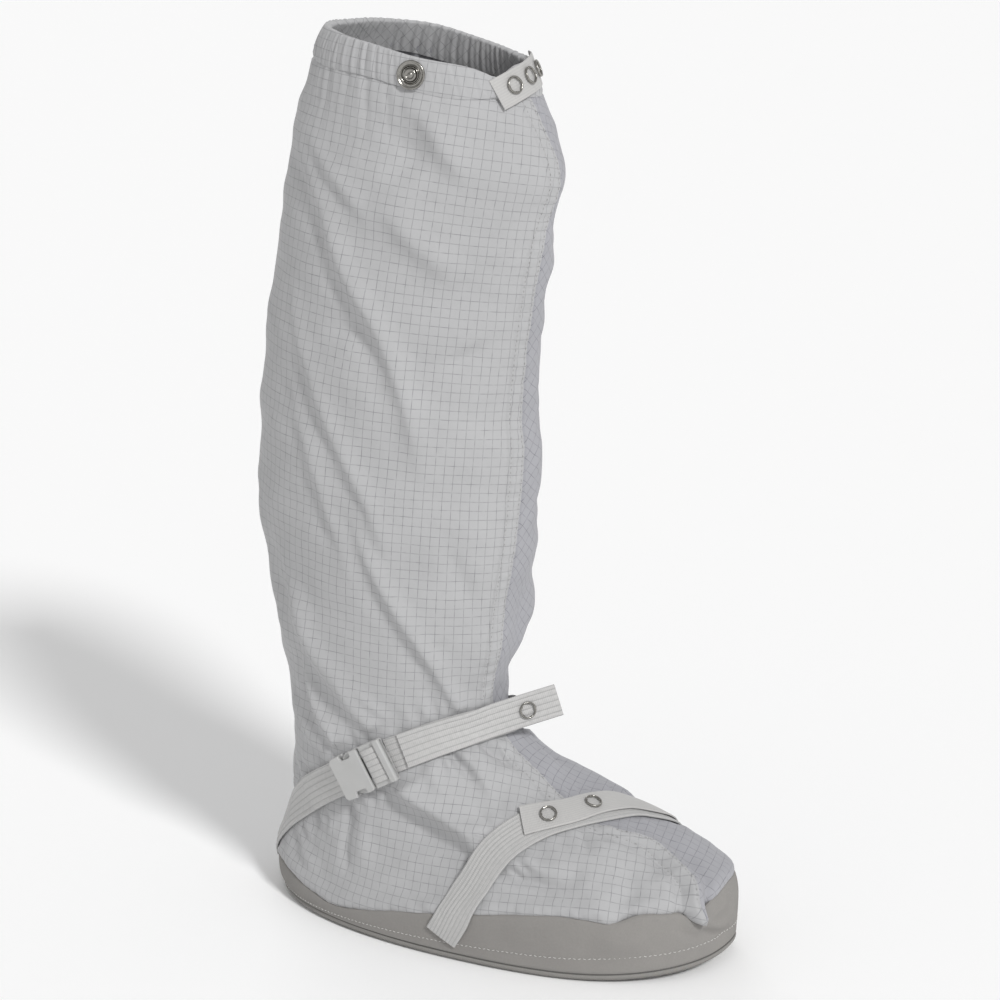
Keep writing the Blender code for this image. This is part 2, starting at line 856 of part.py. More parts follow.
def surface_place(number, degrees, lift):
    """A place on the last itself, with along pointing round towards the front."""
    point, up, round_it, normal = last_frame(number, math.radians(degrees))
    along = round_it / np.linalg.norm(round_it)
    across = np.cross(normal, along)
    return point + normal * lift, along, across, normal


# the boot
def build():
    clear_scene()
    parts = new_collection("cleanroom_boot")
    helpers = new_collection("cutters")
    helpers.hide_render = True
    cloth = material("cloth", COLOURS["cloth"], 0.8)
    band = material("foxing_twill", COLOURS["band"], 0.85)
    sole = material("sole_fabric", COLOURS["sole"], 0.85)
    inside = material("insole_felt", COLOURS["insole"], 0.9)
    webbing = material("webbing", COLOURS["webbing"], 0.75)
    tape = material("plain_tape", COLOURS["webbing"], 0.7)
    plastic = material("buckle_plastic", COLOURS["plastic"], 0.4)
    metal = material("snap_metal", COLOURS["metal"], 0.25, 1.0)

    upper = tree_of(build_upper(parts, cloth))
    foxing = tree_of(build_band(parts, band))
    build_outsole(parts, sole)
    build_insole(parts, inside)

    def strap(name, places, steps, width, lift, wall, below, surface, free=0.0):
        under, over = strap_grid(places, steps, width, lift, wall)
        if free:
            under, over = run_on(under, over, free, 4, 0.001)
        under, over = clear_of(under, over, below)
        made = grid_solid(name, under, over, parts, surface)
        return under, over, tree_of(made)

    base = [upper, foxing]
    rear = strap(
        "ankle_strap_rear", REAR_STRAP, 12, STRAP_WIDTH, GAP, STRAP_WALL, base, webbing
    )
    front = strap(
        "ankle_strap_front", FRONT_STRAP, 30, STRAP_WIDTH, GAP, STRAP_WALL, base, webbing
    )
    second = 2 * GAP + STRAP_WALL
    loose = strap(
        "ankle_strap_end", FREE_STRAP, 7, STRAP_WIDTH, second, STRAP_WALL,
        base + [front[2]], webbing, FREE_END,
    )
    step = strap(
        "instep_webbing", INSTEP_STRAP, 28, STRAP_WIDTH, GAP, STRAP_WALL, base, webbing
    )
    tab = strap(
        "instep_tab", INSTEP_TAB, 20, TAB_WIDTH, second, TAB_WALL, base + [step[2]], tape
    )
    lift = HEM_STEP + GAP
    top = strap("collar_tab", COLLAR_TAB, 12, TAB_WIDTH, lift, TAB_WALL, base, tape)

    buckle = buckle_place(base + [rear[2], front[2]])
    build_socket(buckle, parts, helpers, plastic)
    build_plug(buckle, parts, plastic)

    grids = {"free": loose[:2], "instep_tab": tab[:2], "collar_tab": top[:2]}
    for name, strap, share in SNAPS:
        place = place_on(*grids[strap], share)
        rise = rise_within(grids[strap][1], place, SNAP_RADIUS)
        place = (place[0] + place[3] * rise, *place[1:])
        build_snap(name, place, parts, metal)
    build_stud(surface_place(*STUD_PLACE, HEM_STEP), parts, metal)


build()
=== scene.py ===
"""Looks of a knee-high cleanroom boot: cloth, side band, sole, straps, buckle and metal.

The toe points along +X, the outer side faces -Y and the floor is z = 0, as in the solids.
A place on the boot is a section number, 0 at the sole edge and 14 at the rim, and an angle
round it: 0 is the back, 90 the outer side, 180 the front and 270 the inner side. Lengths
are in metres, and a table that holds millimetres says so.
"""

import math

import bpy
import numpy as np
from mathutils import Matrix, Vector


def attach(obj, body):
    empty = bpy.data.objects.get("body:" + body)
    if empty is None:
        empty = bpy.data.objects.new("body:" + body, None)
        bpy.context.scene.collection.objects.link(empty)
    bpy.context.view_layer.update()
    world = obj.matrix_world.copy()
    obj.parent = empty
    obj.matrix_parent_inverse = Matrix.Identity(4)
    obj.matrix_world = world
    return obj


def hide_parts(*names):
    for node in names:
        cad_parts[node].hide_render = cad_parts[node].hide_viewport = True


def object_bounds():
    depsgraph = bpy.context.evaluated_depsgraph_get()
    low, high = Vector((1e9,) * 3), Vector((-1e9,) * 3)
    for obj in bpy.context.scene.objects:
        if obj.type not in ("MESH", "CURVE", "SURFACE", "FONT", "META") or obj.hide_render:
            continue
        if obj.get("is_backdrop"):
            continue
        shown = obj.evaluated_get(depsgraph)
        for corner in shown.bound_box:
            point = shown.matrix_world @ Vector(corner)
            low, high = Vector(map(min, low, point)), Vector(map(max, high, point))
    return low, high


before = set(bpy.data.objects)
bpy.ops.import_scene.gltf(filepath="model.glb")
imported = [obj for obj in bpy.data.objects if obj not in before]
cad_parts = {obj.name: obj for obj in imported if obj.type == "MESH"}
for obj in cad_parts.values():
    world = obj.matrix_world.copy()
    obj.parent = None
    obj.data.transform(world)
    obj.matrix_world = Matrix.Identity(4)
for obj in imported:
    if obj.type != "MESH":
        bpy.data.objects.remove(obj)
solid_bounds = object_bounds()

MM = 0.001

# Driving sizes, the same as the solids'
SOLE_LENGTH = 0.276
BALL_WIDTH = 0.127
INSTEP_HEIGHT = 0.098
BOOT_HEIGHT = 0.495
CLOTH_WALL = 0.0011
HEM_STEP = 0.0007
BAND_WALL = 0.0012
SOLE_THICKNESS = 0.0042
INSOLE_THICKNESS = 0.0018
TOE_SPRING = 0.006
HEEL_LIFT = 0.002
FLAT_FROM = -0.100
FLAT_TO = 0.062
SOLE_MIDDLE = (-0.100, 0.082)
GAP = 0.0003
STRAP_WIDTH = 0.020
STRAP_WALL = 0.0012
TAB_WIDTH = 0.017
TAB_WALL = 0.0010
FREE_END = 0.047
BUCKLE_WIDTH = 0.0255
BUCKLE_HEIGHT = 0.0066
SOCKET_LENGTH = 0.0205
PLUG_LENGTH = 0.0150

# Sizes that only the looks have
CARBON_PITCH = 5.0 * MM
FELL_WIDTH = 8.6 * MM
STITCH_PITCH = 2.7 * MM
THREAD_WIDTH = 0.36 * MM
STRAP_STEP = 1.3 * MM
# Lowest section number of the cloth's flat pattern, and the panels' top in the casing
PATTERN_START = 0.7
PANEL_TOP = 13.15
# Points round the collar's casing and round the side band
CASING_COLUMNS = 640
BAND_COLUMNS = 480
# Where a panel's rows (degrees) and columns (section number) are measured out, and how finely
ROWS_MEASURED_AT = 105
COLUMNS_MEASURED_AT = 9.0
ROW_SAMPLES = 900
COLUMN_SAMPLES = 2000
# Points across a strap with ribs and across a plain one
RIBBED_COLUMNS = 61
PLAIN_COLUMNS = 25
# Points along a seam's line and round the band's, before stitches are spaced on them
SEAM_SAMPLES = 500
BAND_SAMPLES = 700
# Section numbers of the topmost seam stitch and of the band's topstitch
STITCH_TOP = 12.95
TOPSTITCH_AT = 0.35
# How far the band's edge reaches past its line, under the cloth, in section numbers
BAND_TUCK = 0.015
# The creases are drawn this much higher and wider than their tables say
FOLD_HEIGHT = 1.3
FOLD_WIDTH = 0.9

# One row per named section, from the sole edge up to the rim. Lengths along the boot are
# shares of SOLE_LENGTH, heights shares of INSTEP_HEIGHT (foot) or BOOT_HEIGHT (leg), and
# half widths shares of BALL_WIDTH. Widest is where the half widths are met, as a share
# from back to front. Roundness 2 is an ellipse. Seam turn is in degrees to the outside.
# name, height of, back, back height, front, front height, outer half, inner half,
# widest, back roundness, front roundness, seam turn
SECTIONS = [
    ("sole_edge", "foot", -0.496, 0.051, 0.500, 0.112, 0.559, 0.441, 0.55, 2.2, 2.3, 8),
    ("band_top", "foot", -0.507, 0.102, 0.500, 0.388, 0.551, 0.449, 0.55, 2.2, 2.3, 18),
    ("low", "foot", -0.511, 0.245, 0.471, 0.520, 0.496, 0.417, 0.55, 2.2, 2.2, 20),
    ("toe_top", "foot", -0.496, 0.388, 0.377, 0.653, 0.449, 0.370, 0.52, 2.1, 2.1, 24),
    ("vamp", "foot", -0.475, 0.571, 0.246, 0.776, 0.409, 0.331, 0.50, 2.1, 2.0, 22),
    ("instep", "foot", -0.467, 0.776, 0.094, 0.949, 0.394, 0.331, 0.48, 2.1, 2.0, 12),
    ("ankle_low", "foot", -0.467, 1.000, 0.014, 1.163, 0.394, 0.346, 0.48, 2.1, 1.9, 10),
    ("ankle", "leg", -0.471, 0.251, 0.022, 0.279, 0.394, 0.362, 0.48, 2.1, 1.8, 18),
    ("calf_low", "leg", -0.500, 0.347, 0.062, 0.356, 0.441, 0.409, 0.48, 2.1, 1.7, 22),
    ("calf", "leg", -0.529, 0.505, 0.072, 0.505, 0.472, 0.425, 0.48, 2.1, 1.7, 15),
    ("calf_high", "leg", -0.507, 0.646, 0.069, 0.642, 0.472, 0.425, 0.48, 2.1, 1.7, 12),
    ("knee", "leg", -0.467, 0.788, 0.098, 0.776, 0.457, 0.425, 0.48, 2.1, 1.7, 9),
    ("below_hem", "leg", -0.442, 0.873, 0.127, 0.848, 0.425, 0.409, 0.48, 2.1, 1.8, 5),
    ("hem", "leg", -0.391, 0.966, 0.065, 0.933, 0.370, 0.354, 0.48, 2.1, 2.0, 6),
    ("rim", "leg", -0.359, 1.000, 0.040, 0.966, 0.354, 0.346, 0.48, 2.1, 2.0, 8),
]

# Where the middle of each strap runs, as in the solids: section number, degrees
REAR_STRAP = [(1.75, 6), (2.45, 13), (3.40, 24), (4.15, 41), (4.78, 62), (5.20, 81)]
FRONT_STRAP = [
    (5.72, 112), (6.03, 139), (6.20, 163), (6.20, 188), (6.02, 212), (5.60, 240), (4.95, 272),
    (4.10, 305), (3.00, 332), (1.75, 354),
]
FREE_STRAP = [(5.83, 120), (6.03, 139), (6.20, 160)]
BUCKLE_ENDS = [(5.14, 78), (5.80, 117)]
INSTEP_STRAP = [
    (0.38, 91), (1.93, 103), (3.20, 128), (3.90, 153), (4.08, 173), (4.05, 190), (3.80, 212),
    (3.05, 232), (1.20, 254),
]
INSTEP_TAB = [
    (4.00, 150), (4.08, 162), (4.12, 175), (4.14, 190), (3.90, 212), (3.15, 232), (1.30, 254),
]
COLLAR_TAB = [(13.05, 154), (13.30, 174), (13.50, 196), (13.52, 222)]

# The front seam keeps to 180 degrees but for the toe: section number, degrees
SEAM_PLACES = [
    (0.0, 176), (0.98, 176), (1.6, 178), (2.2, 182), (2.7, 187), (3.05, 189), (3.4, 185),
    (3.8, 180), (5.0, 180), (14.0, 180),
]

# The wavy line where the white cloth meets the grey band: degrees, section number
BAND_EDGE = [
    (0, 1.62), (20, 1.66), (38, 1.50), (52, 1.10), (62, 0.84), (71, 0.90), (82, 1.06),
    (96, 1.12), (115, 1.18), (127, 1.17), (134, 1.06), (143, 0.92), (154, 1.12), (165, 1.08),
    (169, 1.04), (172, 0.84), (175, 0.74), (178, 0.80), (181, 1.02), (188, 1.24), (200, 1.50),
    (218, 1.34), (245, 1.12), (280, 1.12), (320, 1.30), (345, 1.52), (360, 1.62),
]

# Main creases of the cloth. Height and half width are in millimetres, and a height under 0
# is a valley. Lean 0 to 1 makes the lower flank steeper. Start and end are the shares of
# the height left at the two ends. The places are section number and degrees.
# name, height, half width, lean, start, end, places
FOLDS = [
    ("long_diagonal", 3.4, 6.5, 0.6, 0.3, 0.0,
     [(12.15, 43), (11.43, 68), (10.75, 90), (10.3, 113), (9.83, 126), (9.3, 134), (8.9, 140)]),
    ("upper_branch", 2.0, 5.0, 0.4, 0.2, 0.0, [(12.25, 50), (11.65, 80), (11.08, 104)]),
    ("front_diagonal", 2.6, 9.0, 0.5, 0.0, 0.0,
     [(11.75, 92), (11.25, 112), (10.98, 125), (10.6, 150)]),
    ("stud_ridge", 2.8, 8.0, 0.6, 0.6, 0.0,
     [(12.8, 110), (12.55, 117), (12.38, 121), (12.2, 126), (12.02, 136)]),
    ("stud_hollow", -2.4, 15.0, 0.0, 0.3, 0.0, [(12.6, 96), (12.3, 104), (12.1, 116)]),
    ("seam_dent", -1.7, 4.5, 0.0, 0.0, 0.2, [(10.05, 140), (10.15, 150), (10.25, 161)]),
    ("side_dent", -1.3, 6.5, 0.0, 0.0, 0.3, [(10.3, 82), (10.3, 98), (10.18, 113)]),
    ("second_diagonal", 2.3, 5.5, 0.6, 0.3, 0.0,
     [(10.4, 63), (9.93, 79), (9.38, 97), (8.97, 113), (8.75, 119), (8.35, 133)]),
    ("lower_diagonal", 2.7, 5.0, 0.7, 0.0, 0.9,
     [(9.0, 101), (8.55, 115), (8.08, 133), (7.8, 141), (7.35, 149), (6.72, 155)]),
    ("third_diagonal", 1.7, 5.0, 0.5, 0.2, 0.0,
     [(9.75, 68), (9.22, 84), (8.97, 89), (8.65, 98), (8.35, 107)]),
    ("heel_tension", 2.4, 4.0, 0.7, 0.0, 1.0,
     [(7.8, 66), (7.33, 66), (6.83, 69), (6.38, 79), (5.86, 86)]),
    ("ankle_ridge", 3.2, 7.5, 0.5, 0.0, 0.8,
     [(8.6, 58), (8.15, 67), (7.8, 74), (7.38, 87), (6.8, 101), (6.25, 110)]),
    ("seam_soft", -1.3, 6.0, 0.0, 0.0, 0.0, [(8.83, 144), (8.55, 152), (8.3, 160), (8.0, 169)]),
    ("back_soft", 1.5, 6.0, 0.3, 0.0, 0.0, [(9.2, 30), (8.6, 36), (8.0, 44), (7.5, 48)]),
    ("buckle_ridge", 5.0, 7.5, 0.8, 1.0, 0.3,
     [(5.25, 106), (4.75, 111), (4.4, 117), (3.93, 123), (3.40, 128), (3.0, 131)]),
    ("heel_hollow", -2.6, 13.0, 0.0, 0.3, 0.2, [(4.9, 96), (4.0, 104), (3.1, 113), (2.4, 119)]),
    ("buckle_ridge_upper", 2.0, 6.0, 0.3, 1.0, 0.0,
     [(5.6, 124), (5.1, 126), (4.6, 130), (4.2, 136)]),
    ("heel_pleat", -1.8, 4.0, 0.0, 1.0, 0.0, [(4.75, 79), (4.08, 75), (2.93, 69), (1.7, 67)]),
    ("heel_notch", -2.0, 3.4, 0.0, 1.0, 0.0, [(4.2, 54), (3.6, 52), (3.1, 51)]),
    ("heel_soft", 1.6, 6.0, 0.0, 0.3, 0.0, [(4.5, 86), (3.3, 79), (2.15, 73)]),
    ("heel_corner", 1.2, 5.0, 0.2, 0.0, 0.0, [(3.0, 40), (2.4, 46), (1.9, 54)]),
    ("strap_nick", -2.2, 3.2, 0.0, 1.0, 0.0, [(5.75, 141), (5.3, 144), (4.85, 143)]),
    ("strap_nick_front", -2.0, 3.0, 0.0, 1.0, 0.0, [(5.85, 160), (5.33, 168), (4.95, 173)]),
    ("strap_puff", 1.6, 6.0, 0.0, 0.6, 0.0, [(5.6, 151), (5.2, 155), (4.8, 157)]),
    ("instep_nick", -2.2, 3.8, 0.0, 1.0, 0.0, [(2.75, 122), (2.38, 125), (2.18, 131), (2.1, 137)]),
    ("instep_puff", 1.8, 6.0, 0.0, 0.7, 0.0, [(3.1, 133), (2.75, 138), (2.5, 146)]),
    ("ankle_crumple_a", 1.1, 2.6, 0.4, 0.0, 0.0, [(5.5, 66), (5.0, 60), (4.6, 50)]),
    ("ankle_crumple_b", 1.3, 3.0, 0.5, 0.0, 0.6, [(7.2, 40), (6.6, 50), (6.0, 64)]),
    ("ankle_crumple_c", 1.0, 3.0, 0.4, 0.0, 0.6, [(7.3, 100), (6.9, 112), (6.5, 122)]),
    ("heel_crumple", 1.2, 2.8, 0.4, 1.0, 0.0, [(4.4, 62), (3.9, 64), (3.2, 60)]),
    ("vamp_crumple", 1.3, 3.0, 0.5, 1.0, 0.0, [(5.6, 148), (5.1, 148), (4.5, 146)]),
    ("toe_nick", -1.1, 3.5, 0.0, 1.0, 0.0, [(3.5, 166), (3.0, 159)]),
    ("toe_valley", -1.9, 7.0, 0.0, 0.0, 0.8, [(2.85, 168), (2.2, 158), (1.5, 149), (1.15, 148)]),
    ("toe_puff", 1.9, 8.0, 0.0, 0.0, 0.8, [(2.6, 146), (2.0, 141), (1.2, 142)]),
    ("toe_front_puff", 1.6, 7.0, 0.0, 0.0, 0.5, [(2.6, 176), (2.0, 170), (1.3, 162)]),
    ("far_ripple_a", 0.6, 4.0, 0.0, 0.8, 0.0, [(11.0, 182), (11.5, 198), (11.9, 214)]),
    ("far_ripple_b", 0.7, 4.5, 0.0, 0.8, 0.0, [(10.4, 182), (10.7, 198), (11.0, 214)]),
    ("far_ripple_c", 0.6, 4.0, 0.0, 0.8, 0.0, [(10.0, 182), (10.35, 202), (10.6, 216)]),
    ("far_ripple_d", 0.7, 4.5, 0.0, 0.8, 0.0, [(9.65, 182), (9.9, 198), (10.1, 214)]),
    ("far_ripple_e", 0.6, 4.0, 0.0, 0.8, 0.0, [(9.35, 182), (9.6, 196), (9.8, 210)]),
    ("far_ripple_f", 0.7, 4.5, 0.0, 0.8, 0.0, [(9.0, 182), (9.3, 196), (9.55, 210)]),
    ("far_ripple_g", 0.8, 5.0, 0.0, 0.8, 0.0, [(8.6, 182), (8.95, 196), (9.2, 212)]),
    ("knee_front", -2.8, 18.0, 0.0, 0.2, 0.2, [(12.2, 198), (11.7, 204), (11.0, 206)]),
    ("ankle_front", -6.6, 20.0, 0.0, 0.2, 1.0, [(8.6, 198), (7.9, 203), (7.0, 205)]),
]

# Folds that the unseen inner side repeats from the outer side, a little lower
REPEATED_INSIDE = (
    "long_diagonal", "front_diagonal", "side_dent", "second_diagonal", "lower_diagonal",
    "third_diagonal", "ankle_ridge", "buckle_ridge", "heel_pleat", "heel_notch", "heel_soft",
    "strap_nick", "strap_puff",
)

# Small creases of the grey band, in the same columns as FOLDS
BAND_FOLDS = [
    ("toe_tip_a", 1.3, 3.0, 0.0, 0.9, 0.0, [(0.66, 178), (0.52, 186), (0.5, 196)]),
    ("toe_tip_b", -1.3, 2.6, 0.0, 0.9, 0.0, [(0.55, 176), (0.4, 184), (0.36, 192)]),
    ("toe_tip_c", 1.0, 3.0, 0.0, 0.9, 0.0, [(0.8, 180), (0.85, 188), (1.0, 197)]),
    ("below_dip", 0.9, 7.0, 0.0, 0.0, 0.0, [(0.7, 132), (0.55, 143), (0.7, 156)]),
    ("side_wave", -0.7, 7.0, 0.0, 0.0, 0.0, [(0.6, 100), (0.55, 112), (0.7, 124)]),
    ("toe_drag", -0.7, 3.0, 0.0, 0.0, 0.0, [(0.85, 163), (0.6, 168), (0.45, 176)]),
]


# Curves and the last shape
def soft_step(low, high, value):
    """0 below low and 1 above high, with a soft S between them."""
    t = np.clip((value - low) / (high - low), 0, 1)
    return t * t * (3 - 2 * t)


def bump(distance, width):
    """A bell of height 1: e to the power minus (distance / width) squared."""
    return np.exp(-((distance / width) ** 2))


def catmull_rom(p0, p1, p2, p3, t):
    """The cubic from p1 at t = 0 to p2 at t = 1 whose slope at each of them is half the way
    between its two neighbours."""
    return 0.5 * (
        2 * p1
        + (p2 - p0) * t
        + (2 * p0 - 5 * p1 + 4 * p2 - p3) * t * t
        + (3 * p1 - p0 - 3 * p2 + p3) * t**3
    )


def curve_through(knots, where):
    """Catmull-Rom curve through rows of knots, read at positions counted in knots."""
    knots = np.asarray(knots, float)
    last = len(knots) - 1
    where = np.clip(np.asarray(where, float), 0, last)
    low = np.minimum(where.astype(int), last - 1)
    t = (where - low).reshape(where.shape + (1,) * (knots.ndim - 1))
    return catmull_rom(*(knots[np.clip(low + k, 0, last)] for k in (-1, 0, 1, 2)), t)


def table_curve(table, at):
    """Second column of a two-column table, read smoothly where the first column is at."""
    table = np.array(table, float)
    return curve_through(table[:, 1], np.interp(at, table[:, 0], np.arange(len(table))))


def section_table():
    """The sections in metres and radians, one row each."""
    heights = {"foot": INSTEP_HEIGHT, "leg": BOOT_HEIGHT}
    rows = []
    for row in SECTIONS:
        (_, of, back, back_z, front, front_z, outer, inner, widest, round_b, round_f, turn) = row
        lengths = [back * SOLE_LENGTH, back_z * heights[of]]
        lengths += [front * SOLE_LENGTH, front_z * heights[of]]
        lengths += [outer * BALL_WIDTH, inner * BALL_WIDTH]
        rows.append(lengths + [widest, round_b, round_f, math.radians(turn)])
    return np.array(rows)


TABLE = section_table()
RIM = len(TABLE) - 1
HEM = RIM - 1


def section_plan(row, angle):
    """A section from above: x follows |cos| and y |sin|, both to the power 2 / roundness."""
    back, _, front, _, outer, inner, widest, round_b, round_f, _ = np.moveaxis(row, -1, 0)
    c = np.cos(angle)
    s = np.sin(angle)
    power = 2 / np.where(c > 0, round_b, round_f)
    along = np.abs(c) ** power
    middle = back + widest * (front - back)
    x = np.where(c > 0, middle - (middle - back) * along, middle + (front - middle) * along)
    return x, -np.where(s > 0, outer, -inner) * np.abs(s) ** power


def section_point(number, angle):
    """A point of a section: its plan, turned with the seam in front, at a height that runs
    from back to front on a soft S."""
    row = curve_through(TABLE, number)
    x, y = section_plan(row, angle - row[..., -1] * (1 - np.cos(angle)) / 2)
    back, back_z, front, front_z = np.moveaxis(row[..., :4], -1, 0)
    return np.stack([x, y, back_z + (front_z - back_z) * soft_step(back, front, x)], -1)


def last_point(number, angle):
    """Points of the last. Past the rim the wall is carried straight on."""
    over = np.clip(np.asarray(number, float) - RIM, 0, None)[..., None]
    slope = (section_point(RIM, angle) - section_point(RIM - 0.05, angle)) / 0.05
    return section_point(number, angle) + slope * over


def last_frame(number, angle):
    """Point, slope per section, slope per radian and outward normal of the last."""
    number, angle = np.broadcast_arrays(np.asarray(number, float), np.asarray(angle, float))
    low = np.clip(number - 0.02, 0, None)
    high = np.clip(number + 0.02, 0.02, None)
    up = (last_point(high, angle) - last_point(low, angle)) / (high - low)[..., None]
    step = 0.02
    ahead = last_point(number, angle + step) - last_point(number, angle - step)
    round_it = ahead / (2 * step)
    normal = unit(np.cross(round_it, up))
    return last_point(number, angle), up, round_it, normal


def full_turn(count):
    """Even angles once round, from 0."""
    return np.linspace(0, 2 * math.pi, count, endpoint=False)


def unit(vectors):
    """Vectors brought to length 1."""
    return vectors / np.linalg.norm(vectors, axis=-1, keepdims=True)


def lengths_along(points):
    """Distance run along a line of points, 0 at its first."""
    steps = np.linalg.norm(np.diff(points, axis=0), axis=1)
    return np.concatenate([[0], np.cumsum(steps)])


def seam_angle(number):
    """Angle of the front seam at a section number."""
    return np.radians(table_curve(SEAM_PLACES, number))


def turned_to_seam(number, angle):
    """Shifts angles so that 180 degrees falls on the front seam, and the back stays."""
    share = ((1 - np.cos(angle)) / 2) ** 2
    return angle + (seam_angle(number) - math.pi) * share


def band_edge(angle):
    """Section number of the band's wavy upper edge at an angle."""
    return table_curve(BAND_EDGE, np.degrees(angle) % 360)


# Creases, seams and gathers of the cloth
def near_line(points, line, sideways):
    """For each point the distance to a line, its sign to one side, and the share along."""
    best = np.full(len(points), np.inf)
    side = np.zeros(len(points))
    share = np.zeros(len(points))
    run = lengths_along(line)
    for k in range(len(line) - 1):
        step = line[k + 1] - line[k]
        t = np.clip(((points - line[k]) @ step) / (step @ step), 0, 1)
        apart = points - line[k] - t[:, None] * step
        distance = (apart * apart).sum(1)
        closer = distance < best
        best = np.where(closer, distance, best)
        side = np.where(closer, apart @ sideways[k], side)
        share = np.where(closer, (run[k] + t * (run[k + 1] - run[k])) / run[-1], share)
    return np.sqrt(best), np.sign(side), share


def fold_lift(points, fold):
    """Height of one crease: a bell across its line, with a steeper lower flank and a shallow
    valley below it, that fades to its two ends."""
    _, height, width, lean, start, end, places = fold
    width = FOLD_WIDTH * width
    places = np.array(places, float)
    where = np.linspace(0, len(places) - 1, 5 * len(places))
    path = curve_through(places, where)
    line, _, _, normal = last_frame(path[:, 0], np.radians(path[:, 1]))
    sideways = np.cross(normal[:-1], np.diff(line, axis=0))
    reach = 5 * width * MM
    low = line.min(0) - reach
    high = line.max(0) + reach
    near = np.flatnonzero(((points > low) & (points < high)).all(1))
    lift = np.zeros(len(points))
    if len(near) == 0:
        return lift
    distance, side, share = near_line(points[near], line, sideways)
    across = distance * side / MM
    flank = np.where(across > 0, width * (1 + 0.5 * lean), width * (1 - 0.45 * lean))
    shape = bump(across, flank)
    shape -= 0.45 * lean * bump(across + 1.9 * width, width)
    fade = start + (1 - start) * soft_step(0, 0.4, share)
    fade *= end + (1 - end) * soft_step(1, 0.6, share)
    lift[near] = FOLD_HEIGHT * height * MM * shape * fade
    return lift


def all_folds():
    """FOLDS, and the ones that the inner side repeats with the angles taken from 354."""
    folds = list(FOLDS)
    for name, height, width, lean, start, end, places in FOLDS:
        if name in REPEATED_INSIDE:
            inside = [(number - 0.12, 354 - degrees) for number, degrees in places]
            folds.append((name + "_inside", 0.8 * height, width, -lean, start, end, inside))
    return folds


def beside_strap(points, places):
    """For each point the distance to a strap's middle line, its side, the share along, and
    the line's length."""
    number, angle, length = strap_path(places, 8 * len(places))
    line, _, _, normal = last_frame(number, angle)
    sideways = np.cross(normal[:-1], np.diff(line, axis=0))
    return *near_line(points, line, sideways), length


def strap_press(points):
    """1 under a strap or the buckle and 0 away from it, for cloth that is pressed flat."""
    widths = {
        STRAP_WIDTH: (REAR_STRAP, FRONT_STRAP, INSTEP_STRAP),
        1.2 * BUCKLE_WIDTH: (BUCKLE_ENDS,),
        TAB_WIDTH: (INSTEP_TAB, COLLAR_TAB),
    }
    pressed = np.zeros(len(points))
    for width, straps in widths.items():
        for places in straps:
            distance = beside_strap(points, places)[0]
            pressed = np.maximum(pressed, soft_step(width / 2 + 4.5 * MM, width / 2, distance))
    return pressed


def strap_pleats(points):
    """Short pleats that the two ankle runs gather, square to the strap and fading from it."""
    lift = np.zeros(len(points))
    for places in (REAR_STRAP + FRONT_STRAP, INSTEP_STRAP):
        distance, side, share, length = beside_strap(points, places)
        run = share * length / MM
        wave = np.sin(2 * math.pi * run / 11.5 + 2.2 * np.sin(run / 9.0) + side)
        away = np.clip(distance - STRAP_WIDTH / 2, 0, None)
        lift += 0.75 * MM * wave * bump(away - 5 * MM, 7 * MM)
    return lift


def soft_waves(points):
    """Slow undulation of slack cloth: crossed sine waves 30 to 70 mm long, and a smaller
    rumple of waves about 16 mm long whose phases wander."""
    x, y, z = (points / MM).T
    wave = np.sin(0.115 * z + 0.06 * x + 1.1) + 0.8 * np.sin(0.09 * x - 0.07 * z + 0.05 * y)
    wave += 0.7 * np.sin(0.17 * z - 0.11 * x + 0.08 * y + 2.0)
    fine = np.sin(0.31 * z + 0.19 * x + 1.4 * np.sin(0.08 * x + 0.05 * z))
    fine += np.sin(0.27 * x - 0.34 * z + 1.2 * np.sin(0.09 * z) + 0.1 * y)
    return 0.50 * MM * wave + 0.14 * MM * fine


def seam_lift(number, angle, points):
    """The felled front seam: a double layer FELL_WIDTH wide on the outer side, a sharp edge
    at the seam, a groove at each of its two rows of stitches, and small puckers."""
    centre = seam_angle(number)
    on_seam = last_point(number, centre)
    across = np.linalg.norm(points - on_seam, axis=-1) * np.sign(angle - centre)
    layer = soft_step(-FELL_WIDTH - 1.2 * MM, -FELL_WIDTH, across)
    layer *= soft_step(0.25 * MM, -0.15 * MM, across)
    groove = bump(across + 1.2 * MM, 0.6 * MM) + bump(across + FELL_WIDTH - 1.0 * MM, 0.7 * MM)
    shadow = bump(across - 0.9 * MM, 0.8 * MM)
    run = seam_run(number) / MM
    wave = np.sin(2 * math.pi * run / 6.4 + 1.5 * np.sin(run / 14.0))
    pucker = wave * bump(across + 4.5 * MM, 6 * MM)
    lift = 0.95 * layer - 0.50 * groove - 0.65 * shadow + 0.42 * pucker
    return lift * MM


def seam_run(number):
    """Length along the front seam up to a section number."""
    dense = np.linspace(0, RIM, 400)
    run = lengths_along(last_point(dense, seam_angle(dense)))
    return np.interp(number, dense, run)


def back_seam_lift(number, angle, points):
    """The plain seam up the back: a groove, with a puckered swell on each side."""
    on_seam = last_point(number, np.zeros_like(number))
    apart = np.linalg.norm(points - on_seam, axis=-1)
    near = np.cos(angle) > 0
    run = points[..., 2] / MM
    wave = 0.25 * np.sin(2 * math.pi * run / 6.8 + np.sin(run / 11.0))
    lift = -0.5 * bump(apart, 0.8 * MM) + (0.35 + wave) * bump(apart - 3.5 * MM, 3 * MM)
    return lift * near * MM


